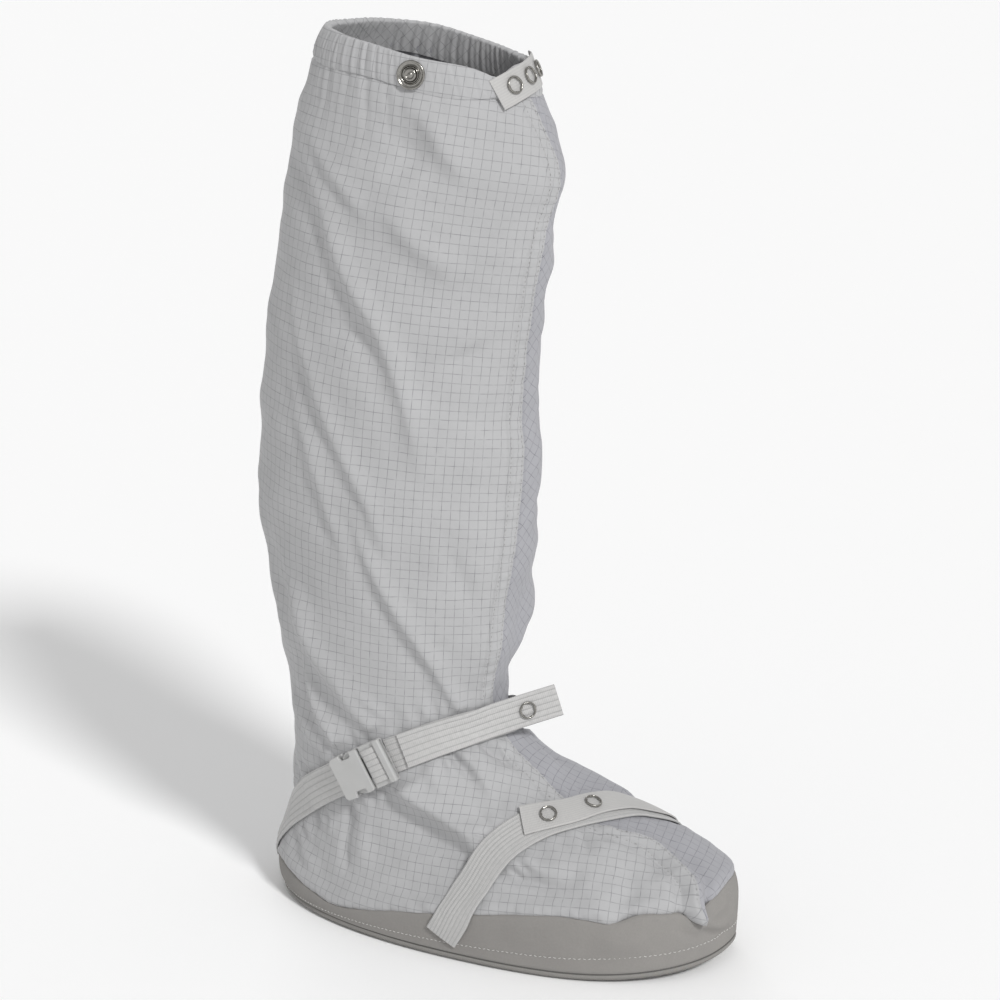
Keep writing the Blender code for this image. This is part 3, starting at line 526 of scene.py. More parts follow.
def toe_roll(number, angle, points):
    """The pinched roll where the seam runs down the toe: a rounded ridge that grows to its
    lower end, with a shallow valley on each side."""
    on_seam = last_point(number, seam_angle(number))
    across = np.linalg.norm(points - on_seam, axis=-1) / MM
    grow = np.interp(number, [0.6, 0.9, 1.5, 2.4, 3.3, 3.9], [3.9, 4.3, 3.9, 3.0, 1.7, 0.0])
    half = np.interp(number, [0.6, 1.2, 2.4, 3.9], [4.2, 4.8, 5.2, 6.0])
    front = np.cos(angle) < 0
    far_side = angle > seam_angle(number)
    valley = 0.45 + 0.15 * far_side
    shape = bump(across, half) - valley * bump(across - 1.8 * half, 0.75 * half)
    return 1.35 * grow * shape * front * MM


def gathers(angle, pleats, inward=False):
    """Elastic gathers: pleats round the collar, of uneven width and depth, as a wave of the
    angle whose phase wanders. They are faint on the outer front, where the stud sits."""
    wander = 1.9 * np.sin(3 * angle + 0.4) + 1.1 * np.sin(7 * angle) + 0.6 * np.sin(13 * angle)
    wave = np.sin(pleats * angle + wander)
    wave = wave * (0.65 + 0.35 * np.sin(5 * angle + 1.0))
    wave = 0.75 * wave + 0.35 * np.sin(round(1.6 * pleats) * angle + 2.3 * np.sin(4 * angle))
    if inward:
        return wave
    degrees = np.degrees(angle) % 360
    calm = soft_step(85, 120, degrees) * soft_step(185, 150, degrees)
    return wave * (1 - 0.7 * calm)


def base_bulge(angle, points):
    """Cloth puffs a little above the band and is drawn in where it is sewn to it."""
    foot = last_point(band_edge(angle), angle)
    above = np.linalg.norm(points - foot, axis=-1) / MM
    rise = 1.1 * bump(above - 5.5, 4.0) - 0.9 * bump(above, 1.3)
    small = 0.25 * np.sin(2 * math.pi * np.degrees(angle) / 4.1) * bump(above - 2.5, 3.0)
    return (rise + small) * MM


def cloth_lift(number, angle, points):
    """Height of the upper's outer face over the last: folds, waves, seams and gathers."""
    flat = points.reshape(-1, 3)
    soft = np.zeros(len(flat))
    for fold in all_folds():
        soft += fold_lift(flat, fold)
    soft += soft_waves(flat) + strap_pleats(flat)
    soft = soft.reshape(number.shape)
    below = np.clip(HEM - number, 0, None)
    soft *= soft_step(-0.05, 0.5, below)
    depth = 0.8 * MM * bump(below, 0.6)
    soft += depth * gathers(angle, 34)
    soft += toe_roll(number, angle, points)
    soft += base_bulge(angle, points)
    press = strap_press(flat).reshape(number.shape)
    lift = soft + seam_lift(number, angle, points) + back_seam_lift(number, angle, points)
    return lift * (1 - press) + np.minimum(lift, -0.1 * MM) * press


# Straps: the same construction as the solids', read from their packed faces
def share_out(move, up, round_it):
    """Splits a move over the last into a change of section number and of angle."""
    uu = (up * up).sum(1)
    ur = (up * round_it).sum(1)
    rr = (round_it * round_it).sum(1)
    mu = (move * up).sum(1)
    mr = (move * round_it).sum(1)
    det = uu * rr - ur * ur
    return (mu * rr - mr * ur) / det, (mr * uu - mu * ur) / det


def strap_path(places, steps):
    """Even steps along a strap's middle line, as section numbers and radians."""
    places = np.array(places, float)
    knots = last_point(places[:, 0], np.radians(places[:, 1]))
    rows = np.column_stack([places[:, 0], np.radians(places[:, 1]), knots])
    line = curve_through(rows, np.linspace(0, len(places) - 1, 20 * len(places)))
    number = line[:, 0]
    angle = line[:, 1]
    for _ in range(6):
        point, up, round_it, _ = last_frame(number, angle)
        step_up, step_round = share_out(line[:, 2:] - point, up, round_it)
        number = np.clip(number + 0.8 * step_up, 0, None)
        angle = angle + 0.8 * step_round
    run = lengths_along(last_point(number, angle))
    even = np.linspace(0, run[-1], steps + 1)
    return np.interp(even, run, number), np.interp(even, run, angle), run[-1]


def strap_sides(number, angle, reach, hops=4):
    """Walk from the middle line square to it over the last, reach to each side."""
    point = last_point(number, angle)
    along = unit(np.gradient(point, axis=0))
    _, _, _, normal = last_frame(number, angle)
    sideways = unit(np.cross(normal, along))
    for _ in range(hops):
        _, up, round_it, _ = last_frame(number, angle)
        step_up, step_round = share_out(sideways * reach / hops, up, round_it)
        number = number + step_up
        angle = angle + step_round
    return number, angle


def strap_grid(places, steps, width, lift, wall, columns=3):
    """Lower and upper surface of a strap that lies over the last, as point grids."""
    number, angle, _ = strap_path(places, steps)
    under = []
    over = []
    for share in np.linspace(-0.5, 0.5, columns):
        n, a = strap_sides(number, angle, share * width)
        point, _, _, normal = last_frame(n, a)
        under.append(point + normal * lift)
        over.append(point + normal * (lift + wall))
    return np.array(under), np.array(over)


def run_on(under, over, length, steps, droop):
    """Carries a strap's last row straight on, off the boot, with a slight droop."""
    way = unit(under[:, -1].mean(0) - under[:, -2].mean(0))
    shares = np.linspace(0, 1, steps + 1)[1:]
    move = way[None] * (shares * length)[:, None]
    move[:, 2] -= droop * shares**2
    flat = np.minimum(1, 2.5 * shares)[:, None]
    more = []
    for grid in (under, over):
        row = grid[:, -1][:, None, :] + move[None]
        straight = np.linspace(0, 1, len(grid))[:, None, None]
        level = row[:1] * (1 - straight) + row[-1:] * straight
        more.append(np.concatenate([grid, row * (1 - flat) + level * flat], 1))
    return more


def mesh_points(mesh):
    """A mesh's points as rows."""
    flat = np.empty(len(mesh.vertices) * 3)
    mesh.vertices.foreach_get("co", flat)
    return flat.reshape(-1, 3)


def node_points(node):
    """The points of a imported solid."""
    return mesh_points(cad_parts[node].data)


def seated(node, under, over):
    """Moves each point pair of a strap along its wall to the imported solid's two faces: the
    least and the greatest height of the solid's points that lie on the wall's line."""
    out = unit(over - under)
    wall = np.linalg.norm(over - under, axis=-1)
    apart = node_points(node) - under[..., None, :]
    height = (apart * out[..., None, :]).sum(-1)
    aside = np.linalg.norm(apart - height[..., None] * out[..., None, :], axis=-1)
    found = (aside < 0.4 * MM) & (np.abs(height) < 5 * MM)
    some = found.any(-1)
    low = np.where(some, np.where(found, height, np.inf).min(-1), 0.0)
    high = np.where(some, np.where(found, height, -np.inf).max(-1), wall)
    return under + out * low[..., None], under + out * high[..., None]


def finer(grid, across, along):
    """A strap grid read smoothly at more columns and steps."""
    columns, steps = grid.shape[:2]
    wide = curve_through(grid, np.linspace(0, columns - 1, across))
    return curve_through(np.moveaxis(wide, 1, 0), np.linspace(0, steps - 1, along))


# Meshes
def shown(name, data):
    """An object of the scene."""
    thing = bpy.data.objects.new(name, data)
    bpy.context.scene.collection.objects.link(thing)
    return thing


def new_piece(name, points, faces, surface, nodes=(), uv=None, sharp=50):
    """A piece from points and faces, with its pattern map, that rides on the boot."""
    mesh = bpy.data.meshes.new(name)
    mesh.from_pydata(np.asarray(points).tolist(), [], faces)
    if uv is not None:
        layer = mesh.uv_layers.new(name="pattern")
        layer.data.foreach_set("uv", np.asarray(uv, np.float32).ravel())
    mesh.shade_smooth()
    mesh.set_sharp_from_angle(angle=math.radians(sharp))
    mesh.materials.append(surface)
    piece = shown(name, mesh)
    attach(piece, "root")
    if nodes:
        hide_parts(*nodes)
    return piece


def quads(rows, columns, wrap=False):
    """Corner numbers of the squares of a grid, in the order that faces outwards."""
    index = np.arange(rows * columns).reshape(rows, columns)
    if wrap:
        index = np.concatenate([index, index[:, :1]], 1)
    corners = [index[:-1, :-1], index[:-1, 1:], index[1:, 1:], index[1:, :-1]]
    return np.stack(corners, -1).reshape(-1, 4)


def capped(rows, columns):
    """Faces of a wall of rings, with a flat cap on its first and its last ring."""
    last = (rows - 1) * columns
    caps = [list(range(columns))[::-1], list(range(last, last + columns))]
    return quads(rows, columns, True).tolist() + caps


def circle_round(turn, aside, above):
    """Directions round a line: cos of the turn times aside, plus sin times above."""
    turn = turn[:, None]
    return np.cos(turn) * aside[:, None] + np.sin(turn) * above[:, None]


def turn_outwards(piece):
    """Turns a closed piece's faces outwards: the volume that they close in, a sum of cones
    from the origin, comes out under 0 where they point inwards."""
    mesh = piece.data
    mesh.calc_loop_triangles()
    corners = np.empty(len(mesh.loop_triangles) * 3, np.int32)
    mesh.loop_triangles.foreach_get("vertices", corners)
    a, b, c = np.moveaxis(mesh_points(mesh)[corners].reshape(-1, 3, 3), 1, 0)
    if (a * np.cross(b, c)).sum() < 0:
        mesh.flip_normals()
    return piece


def grid_solid(name, outer, inner, surface, slot, nodes=(), uv=None, wrap=False, sharp=50):
    """A wall between two grids of the same shape, rows by columns, closed at every edge.

    uv holds the pattern place of each grid point, with one more column where it wraps.
    """
    rows, columns = outer.shape[:2]
    count = rows * columns
    front = quads(rows, columns, wrap)
    index = np.arange(count).reshape(rows, columns)
    lines = [index[0][::-1], index[-1]]
    if wrap:
        lines = [np.append(line, line[0]) for line in lines]
    else:
        lines += [index[:, 0], index[::-1, -1]]
    strips = [np.stack([a[:-1], a[1:], a[1:] + count, a[:-1] + count], -1) for a in lines]
    faces = np.concatenate([front, front[:, ::-1] + count] + strips)
    points = np.concatenate([outer.reshape(-1, 3), inner.reshape(-1, 3)])
    if uv is not None:
        wide = uv.shape[1]
        index = np.arange(rows * wide).reshape(rows, wide)
        lines = [index[0][::-1], index[-1]]
        if not wrap:
            lines += [index[:, 0], index[::-1, -1]]
        squares = quads(rows, wide)
        strips = [np.stack([a[:-1], a[1:], a[1:], a[:-1]], -1) for a in lines]
        uv = uv.reshape(-1, 2)[np.concatenate([squares, squares[:, ::-1]] + strips).ravel()]
    return new_piece(name, points, faces.tolist(), surface, nodes, uv, sharp)


# Laying the cloth flat, so that the carbon grid follows it without stretch
def laid_flat(points, rounds=60):
    """Lays a grid of points flat with the least stretch. In turn, each triangle takes its
    best turn, and the points take the places that suit all the turned triangles. A flat
    place is a complex number, so that a turn is a product."""
    rows, columns = points.shape[:2]
    count = rows * columns
    square = quads(rows, columns)
    triangles = np.concatenate([square[:, [0, 1, 2]], square[:, [0, 2, 3]]])
    corner = points.reshape(-1, 3)[triangles]
    first = corner[:, 1] - corner[:, 0]
    second = corner[:, 2] - corner[:, 0]
    length = np.linalg.norm(first, axis=1)
    high = np.linalg.norm(np.cross(first, second), axis=1) / length
    shape = [0 * length, length, (second * first).sum(1) / length + 1j * high]
    system = np.zeros((count, count))
    sides = []
    for a, b, c in ((0, 1, 2), (1, 2, 0), (2, 0, 1)):
        # A side weighs as much as the cotangent of the corner across from it.
        across = (shape[b] - shape[c]) * np.conj(shape[a] - shape[c])
        weight = np.clip(across.real / np.maximum(np.abs(across.imag), 1e-12), 0.02, 20)
        i, j = triangles[:, a], triangles[:, b]
        sides.append((i, j, weight * (shape[a] - shape[b])))
        for p, q, share in ((i, i, weight), (j, j, weight), (i, j, -weight), (j, i, -weight)):
            np.add.at(system, (p, q), share)
    system[0] = 0
    system[0, 0] = 1
    solve = np.linalg.inv(system)
    across = np.stack([lengths_along(row) for row in points])
    upward = np.stack([lengths_along(points[:, k]) for k in range(columns)], 1)
    flat = (across - across[:, columns // 2][:, None] + 1j * upward).ravel()
    for _ in range(rounds):
        turn = sum((flat[i] - flat[j]) * np.conj(side) for i, j, side in sides)
        turn = turn / np.maximum(np.abs(turn), 1e-12)
        wanted = np.zeros(count, complex)
        for i, j, side in sides:
            np.add.at(wanted, i, turn * side)
            np.add.at(wanted, j, -turn * side)
        wanted[0] = 0
        flat = solve @ wanted
    return np.stack([flat.real, flat.imag], -1).reshape(rows, columns, 2)


class ClothPattern:
    """The flat pattern of one side panel, read at any place of the panel."""

    def __init__(self, first, last, turn):
        self.numbers = np.linspace(PATTERN_START, RIM, 41)
        self.angles = np.linspace(first, last, 25)
        number, angle = np.meshgrid(self.numbers, self.angles, indexing="ij")
        points = last_point(number, turned_to_seam(number, angle))
        flat = laid_flat(points)
        # The grid is turned to run with the front of the leg, then by the cut's own angle.
        rows = (self.numbers > 8) & (self.numbers < 11)
        middle = 16 if first < 1 else 8
        leg = flat[rows, middle]
        tilt = math.atan2(*(leg[-1] - leg[0])) + math.radians(turn)
        c, s = math.cos(tilt), math.sin(tilt)
        self.flat = flat @ np.array([[c, s], [-s, c]])

    def at(self, number, angle):
        """Pattern place of a grid of section numbers by unturned angles."""
        number = np.clip(number, PATTERN_START, RIM)
        row = np.interp(number, self.numbers, np.arange(len(self.numbers)))
        column = np.interp(angle, self.angles, np.arange(len(self.angles)))
        rows = curve_through(self.flat, row).reshape(-1, len(self.angles), 2)
        column = np.broadcast_to(column, number.shape).reshape(-1)
        last = len(self.angles) - 1
        low = np.minimum(column.astype(int), last - 1)
        each = np.arange(len(low))
        near = [rows[each, np.clip(low + k, 0, last)] for k in (-1, 0, 1, 2)]
        return catmull_rom(*near, (column - low)[:, None]).reshape(number.shape + (2,))


# Materials
def linear(colour):
    """An sRGB hex colour as linear red, green and blue."""
    parts = [int(colour[k : k + 2], 16) / 255 for k in (0, 2, 4)]
    return [p / 12.92 if p <= 0.04045 else ((p + 0.055) / 1.055) ** 2.4 for p in parts]


def rgba(colour):
    """The same, with full cover."""
    return (*linear(colour), 1.0)


def fill(tree, node, values):
    """Sets a node's inputs by name or number: a value, or another node's output."""
    for name, value in values.items():
        if isinstance(value, bpy.types.NodeSocket):
            tree.links.new(value, node.inputs[name])
        else:
            node.inputs[name].default_value = value


def add(tree, kind, values, **settings):
    """Adds one shader node, with its properties and its inputs."""
    node = tree.nodes.new(kind)
    for name, value in settings.items():
        setattr(node, name, value)
    fill(tree, node, values)
    return node


def maths(tree, operation, a, b=0.0, c=0.0, clamp=False):
    """One arithmetic step on numbers or outputs."""
    node = add(tree, "ShaderNodeMath", {0: a, 1: b, 2: c}, operation=operation, use_clamp=clamp)
    return node.outputs[0]


def ranged(tree, value, low, high, at_low, at_high, **settings):
    """A value moved from the range low to high into the range at_low to at_high."""
    values = {0: value, 1: low, 2: high, 3: at_low, 4: at_high}
    return add(tree, "ShaderNodeMapRange", values, **settings).outputs[0]


def thread_line(tree, place, pitch, width, soft):
    """1 on evenly spaced lines and 0 between them: the distance to the nearest multiple of
    the pitch, through a soft step."""
    away = maths(tree, "PINGPONG", place, pitch / 2)
    edge = width / 2
    return ranged(tree, away, edge, edge + soft, 1.0, 0.0, interpolation_type="SMOOTHSTEP")


def waves(tree, along, pitch):
    """A sine wave of one pitch along an output."""
    return maths(tree, "SINE", maths(tree, "MULTIPLY", along, 2 * math.pi / pitch))


def noise(tree, place, scale, detail, rough=0.5):
    """Soft noise of about scale waves a metre."""
    values = {"Vector": place, "Scale": scale, "Detail": detail, "Roughness": rough}
    return add(tree, "ShaderNodeTexNoise", values).outputs[0]


def between(tree, share, first, second):
    """A colour from the first to the second, each a hex colour or an output."""
    ends = [rgba(end) if isinstance(end, str) else end for end in (first, second)]
    values = {0: share, 6: ends[0], 7: ends[1]}
    return add(tree, "ShaderNodeMix", values, data_type="RGBA").outputs[2]


def relief(tree, heights, strength=0.8):
    """A bump from a sum of outputs, each times its height in millimetres."""
    total = 0.0
    for output, height in heights:
        total = maths(tree, "MULTIPLY_ADD", output, height * MM, total)
    values = {"Height": total, "Distance": 1.0, "Strength": strength}
    return add(tree, "ShaderNodeBump", values).outputs[0]


def start_material(name, patterned=True):
    """A new material, its tree, its place on the boot and the two lengths of its pattern."""
    made = bpy.data.materials.new(name)
    made.use_nodes = True
    tree = made.node_tree
    place = add(tree, "ShaderNodeTexCoord", {}).outputs["Object"]
    if not patterned:
        return made, tree, place
    uv = add(tree, "ShaderNodeUVMap", {}, uv_map="pattern").outputs[0]
    parts = add(tree, "ShaderNodeSeparateXYZ", {0: uv}).outputs
    return made, tree, place, uv, parts[0], parts[1]


def finish(made, colour, rough, **values):
    """Sets a material's shader. An input's name is written with _ for a space."""
    tree = made.node_tree
    values = {name.replace("_", " "): value for name, value in values.items()}
    fill(tree, tree.nodes["Principled BSDF"], {"Base Color": colour, "Roughness": rough, **values})
    return made


def cloth_material(name, base, thread):
    """Plain-woven polyester with a 5 mm grid of carbon yarn: matt, faintly crumpled, with
    thin grey lines. The weave itself is under 0.3 mm and is drawn 0.9 mm wide to show."""
    made, tree, place, uv, u, v = start_material(name)
    lines = [thread_line(tree, side, CARBON_PITCH, 0.10 * MM, 0.22 * MM) for side in (u, v)]
    grid = maths(tree, "MAXIMUM", *lines)
    broken = ranged(tree, noise(tree, uv, 260, 2), 0.30, 0.66, 0.25, 1.0)
    shade = maths(tree, "MULTIPLY", maths(tree, "MULTIPLY", grid, broken), 0.62)
    tone = between(tree, noise(tree, place, 22, 3), *base)
    weave = maths(tree, "MULTIPLY", waves(tree, u, 0.9 * MM), waves(tree, v, 0.9 * MM))
    fine = noise(tree, place, 150, 3)
    crumple = noise(tree, place, 42, 3, 0.45)
    bumps = relief(tree, [(weave, 0.018), (fine, 0.38), (crumple, 2.3), (grid, 0.03)])
    return finish(
        made, between(tree, shade, tone, thread), 0.78,
        Specular_IOR_Level=0.3, Sheen_Weight=0.12, Sheen_Roughness=0.5, Normal=bumps,
    )


def twill_material(name, base, rib):
    """Grey polyester twill: fine diagonal ribs, drawn over 1 mm apart so that they show, a
    dry matt face and slight cloudiness from handling."""
    made, tree, place, _, u, v = start_material(name)
    ribs = waves(tree, maths(tree, "ADD", u, v), rib * MM)
    cloudy = noise(tree, place, 60, 5)
    grain = noise(tree, place, 900, 2)
    share = maths(tree, "MULTIPLY_ADD", grain, 0.55, maths(tree, "MULTIPLY", cloudy, 0.45))
    bumps = relief(tree, [(ribs, 0.055), (cloudy, 0.9), (grain, 0.08)])
    colour = between(tree, share, *base)
    return finish(made, colour, 0.85, Specular_IOR_Level=0.25, Normal=bumps)


def webbing_material(name, base, cross, rib):
    """Knitted polyester elastic: white, slightly glossy yarn in ribs along it, which are in
    the mesh, and fine cross threads, which are drawn here."""
    made, tree, place, _, u, v = start_material(name)
    picks = waves(tree, u, cross * MM)
    yarn = noise(tree, place, 500, 2)
    # groove darkens thin lines along the strap, one rib pitch apart: painted shade in the grooves
    # between the mesh's ribs. The plain tape, whose mesh is flat, gets the same faint lines
    groove = thread_line(tree, v, rib * MM, 0.18 * MM, 0.35 * MM)
    bright = maths(tree, "MULTIPLY_ADD", picks, 0.15, maths(tree, "ADD", yarn, 0.35))
    colour = between(tree, maths(tree, "SUBTRACT", bright, groove, clamp=True), *base)
    bumps = relief(tree, [(picks, 0.05), (yarn, 0.16)])
    return finish(made, colour, 0.62, Specular_IOR_Level=0.4, Sheen_Weight=0.1, Normal=bumps)


def plastic_material(name, base):
    """Moulded acetal: white with a soft satin gloss and a faint moulded texture."""
    made, tree, place = start_material(name, False)
    colour = between(tree, noise(tree, place, 90, 2), *base)
    bumps = relief(tree, [(noise(tree, place, 1400, 2), 0.02)], 0.6)
    depth = (0.6 * MM, 0.6 * MM, 0.5 * MM)
    return finish(
        made, colour, 0.42, IOR=1.48, Subsurface_Weight=0.08, Subsurface_Radius=depth, Normal=bumps
    )


def metal_material(name, base):
    """Nickel-plated brass, stamped and tumbled: bright, with fine smears in its gloss."""
    made, tree, place = start_material(name, False)
    smear = noise(tree, place, 700, 3)
    rough = ranged(tree, smear, 0.3, 0.7, 0.16, 0.30)
    return finish(made, between(tree, smear, *base), rough, Metallic=1.0)


def thread_material(name, base):
    """Spun polyester sewing thread: matt, with a fine twist along it."""
    made, tree, place = start_material(name, False)
    return finish(made, between(tree, noise(tree, place, 1800, 1), *base), 0.7)


CLOTH_OUTER = cloth_material("carbon_grid_polyester", ("a8a8a9", "b3b3b4"), "5e5e61")
# Painted shade: the inner panel's copy of the cloth, and its grid thread, is darker and bluer than
# the outer one
CLOTH_INNER_PAINTED_SHADE = cloth_material("carbon_grid_polyester_bias_painted_shade", ("9b9b9f", "a5a5aa"), "545459")
BAND_TWILL = twill_material("band_twill", ("878583", "96938f"), 1.1)
SOLE_TWILL = twill_material("sole_twill", ("82807d", "908e8b"), 1.3)
FELT = twill_material("insole_felt", ("c0c0c0", "cdcdcd"), 1.6)
WEBBING = webbing_material("ribbed_elastic_webbing", ("a2a2a1", "bab9b8"), 1.1, 20 / 6)
FINE_WEBBING = webbing_material("finely_ribbed_webbing", ("a4a4a3", "b8b7b6"), 1.0, 20 / 9)
TAPE = webbing_material("plain_woven_tape", ("b2b1b0", "b9b8b6"), 0.8, 1.4)
ACETAL = plastic_material("moulded_acetal", ("acacab", "b5b5b4"))
NICKEL = metal_material("nickel_plated_brass", ("7d7b77", "a9a7a2"))
WHITE_THREAD = thread_material("white_thread", ("c9c8c5", "d9d8d5"))
# The seam thread is coloured darker than the cloth, as painted shade of its needle holes
SEAM_THREAD_HOLE_SHADE = thread_material("seam_thread_hole_shade", ("8a8988", "9e9d9b"))
# Painted shade: a dark grey for the ring that stands for the shaded groove where sole and band
# meet
SOLE_GROOVE_SHADE = thread_material("sole_groove_painted_shade", ("4c4b49", "5e5d5a"))


# Pieces
def row_numbers(low, high, spacing):
    """Section numbers spaced evenly along the outer side of the last."""
    dense = np.linspace(low, high, ROW_SAMPLES)
    run = lengths_along(last_point(dense, np.full(ROW_SAMPLES, math.radians(ROWS_MEASURED_AT))))
    count = int(run[-1] / spacing)
    return np.interp(np.linspace(0, run[-1], count), run, dense)


def column_angles(first, last, spacing):
    """Angles from first to last, closer together where the spacing table, degrees from the
    front seam or the back and millimetres, says so."""
    dense = np.linspace(first, last, COLUMN_SAMPLES)
    run = lengths_along(last_point(np.full(COLUMN_SAMPLES, COLUMNS_MEASURED_AT), dense)) / MM
    away = np.array(spacing, float)
    gap = np.interp(np.degrees(dense), away[:, 0], away[:, 1])
    weight = np.concatenate([[0], np.cumsum(np.diff(run) / gap[1:])])
    return np.interp(np.linspace(0, weight[-1], int(weight[-1]) + 1), weight, dense)


def cloth_rows(upright, angle):
    """Section numbers of a panel's rows: the lowest follow the band's edge."""
    edge = band_edge(angle)
    return upright + (edge - 1) * np.clip((3 - upright) / 2, 0, 1)


def build_panel(name, first, last, spacing, cut_turn, surface):
    """One side panel of the upper: the last's points plus their normals times the height of
    folds and seams, from under the band's edge up into the collar's casing, and the same
    less the wall inside. Returns its flat pattern."""
    columns = column_angles(first, last, spacing)
    # The rows are closer together over the band's edge.
    rows = [row_numbers(1.0, 1.3, 1.0 * MM), row_numbers(1.3, PANEL_TOP, 2.1 * MM)[1:]]
    rows = np.concatenate(rows)
    upright, plain = np.meshgrid(rows, columns, indexing="ij")
    angle = turned_to_seam(cloth_rows(upright, plain), plain)
    number = cloth_rows(upright, angle)
    point, _, _, normal = last_frame(number, angle)
    lift = cloth_lift(number, angle, point)
    # Inside the casing the panel lies lower, out of sight.
    hidden = soft_step(HEM - 0.03, HEM + 0.02, number)
    lift = lift * (1 - hidden) - 1.2 * MM * hidden
    tuck_number = np.stack([np.zeros_like(columns), number[0] * 0.6, number[0] - 0.03])
    tuck_angle = np.broadcast_to(angle[0], tuck_number.shape)
    tuck_point, _, _, tuck_normal = last_frame(tuck_number, tuck_angle)
    # The cloth runs on down behind the band to the sole seam.
    tuck_point[0, :, 2] = SOLE_THICKNESS + GAP + sole_lift(tuck_point[0, :, 0])
    tuck_point -= tuck_normal * (BAND_WALL + 2 * GAP)
    points = np.concatenate([tuck_point, point + normal * lift[..., None]])
    inner = points - np.concatenate([tuck_normal, normal]) * CLOTH_WALL
    pattern = ClothPattern(first, last, cut_turn)
    numbers = np.concatenate([tuck_number, number])
    uv = pattern.at(numbers, np.broadcast_to(columns, numbers.shape))
    grid_solid(name, points, inner, surface, "cloth", ("upper",), uv, sharp=60)
    return pattern


def sole_lift(x):
    """Height of the sole's underside above the floor: it curls up at toe and heel."""
    toe = np.clip((x - FLAT_TO) / (SOLE_LENGTH / 2 - FLAT_TO), 0, 1)
    heel = np.clip((FLAT_FROM - x) / (SOLE_LENGTH / 2 + FLAT_FROM), 0, 1)
    return TOE_SPRING * toe**2 + HEEL_LIFT * heel**2


def rim_number(angle):
    """The collar's top edge: level but for the notch at the front and a slight wander."""
    degrees = np.degrees(angle) % 360
    notch = 0.50 * bump(degrees - 161, 13)
    wander = 0.03 * np.sin(4 * angle + 0.7) + 0.02 * np.sin(9 * angle)
    return RIM - notch + wander


def build_casing(patterns):
    """The collar's casing: a folded hem over elastic. The last's points move out by a half
    sine puff and the gathers' wave, less a groove at the stitched foot, and both walls come
    together at the top as a circle does."""
    columns = full_turn(CASING_COLUMNS)
    outside = np.concatenate([np.linspace(0, 0.9, 15), [0.95, 0.985, 1.0]])
    share, plain = np.meshgrid(outside, columns, indexing="ij")
    angle = turned_to_seam(np.full(share.shape, 13.5), plain)
    top = rim_number(angle)
    foot = HEM - 0.02 + 0.03 * np.sin(5 * angle)
    number = foot + (top - foot) * share
    point, _, _, normal = last_frame(number, angle)
    puff = np.sin(math.pi * np.clip(share, 0, 1)) ** 0.5
    edge = soft_step(0.0, 0.08, share)
    round_top = np.sqrt(np.clip(1 - ((share - 0.9) / 0.1).clip(0, 1) ** 2, 0, 1))
    wave = gathers(angle, 64)
    deep = gathers(angle, 64, inward=True)
    middle = -0.5 * CLOTH_WALL
    half_out = (0.55 * edge + 0.45 * puff) * 1.25 * MM + 0.45 * MM
    half_out = half_out * round_top + 0.15 * MM
    stitch = bump(share - 0.10, 0.035)
    out = middle + half_out + wave * 0.65 * MM * (0.35 + 0.65 * edge) - 0.5 * MM * stitch
    half_in = (1.9 * MM + 0.4 * MM * puff) * round_top + 0.15 * MM
    inside = middle - half_in + deep * 0.75 * MM * (0.35 + 0.65 * edge)
    outer_points = point + normal * out[..., None]
    inner_points = point + normal * np.minimum(inside, out - 0.5 * MM)[..., None]
    across = np.concatenate([plain, plain[:, :1] + 2 * math.pi], 1)
    numbers = np.concatenate([number, number[:, :1]], 1)
    near = patterns[0].at(numbers, np.clip(across, 0, math.pi))
    far = patterns[1].at(numbers, np.clip(across, math.pi, 2 * math.pi))
    uv = np.where((across < math.pi)[..., None], near, far)
    walls = (outer_points, inner_points)
    grid_solid("collar_casing", *walls, CLOTH_OUTER, "cloth", ("upper",), uv, True, 60)


def band_lift(number, angle, points):
    """Height of the band over the last: its small creases and a slow wave."""
    flat = points.reshape(-1, 3)
    lift = np.zeros(len(flat))
    for fold in BAND_FOLDS:
        lift += fold_lift(flat, fold)
    lift = lift.reshape(number.shape)
    return lift + 0.3 * MM * np.sin(7 * angle + 0.5) * number.clip(0, 1)


def band_foot(foot, share):
    """How far up the band is moved so that its foot stands on the sole: the whole way there
    and nothing at its upper edge."""
    return (sole_lift(foot[..., 0]) + SOLE_THICKNESS + GAP - foot[..., 2]) * (1 - share)


def build_band():
    """The grey side band: the last from the sole seam up to the wavy edge, moved out by its
    creases, its lower edge folded in at the sole and its upper edge turned under the cloth."""
    columns = full_turn(BAND_COLUMNS)
    share = np.concatenate([[0.0, 0.02, 0.05], np.linspace(0.09, 0.92, 17), [0.96, 0.985, 1.0]])
    share, plain = np.meshgrid(share, columns, indexing="ij")
    angle = turned_to_seam(np.ones(plain.shape), plain)
    number = share * (band_edge(angle) + BAND_TUCK)
    point, _, _, normal = last_frame(number, angle)
    lift = band_lift(number, angle, point)
    turned_in = soft_step(0.93, 1.0, share) ** 2
    lift = lift * soft_step(0, 0.1, share) * (1 - turned_in) - 1.0 * MM * turned_in
    point[..., 2] += band_foot(point[0].copy(), share)
    outer = point + normal * (lift - 0.6 * MM * soft_step(0.05, 0.0, share))[..., None]
    inner = point + normal * (lift - BAND_WALL - 0.2 * MM)[..., None]
    run = lengths_along(np.concatenate([point[8], point[8][:1]]))
    rise = np.linalg.norm(point - point[:1], axis=-1)
    rise = np.concatenate([rise, rise[:, :1]], 1)
    uv = np.stack([np.broadcast_to(run, rise.shape), rise], -1)
    grid_solid("side_band", outer, inner, BAND_TWILL, "foxing_twill", ("foxing",), uv, True)


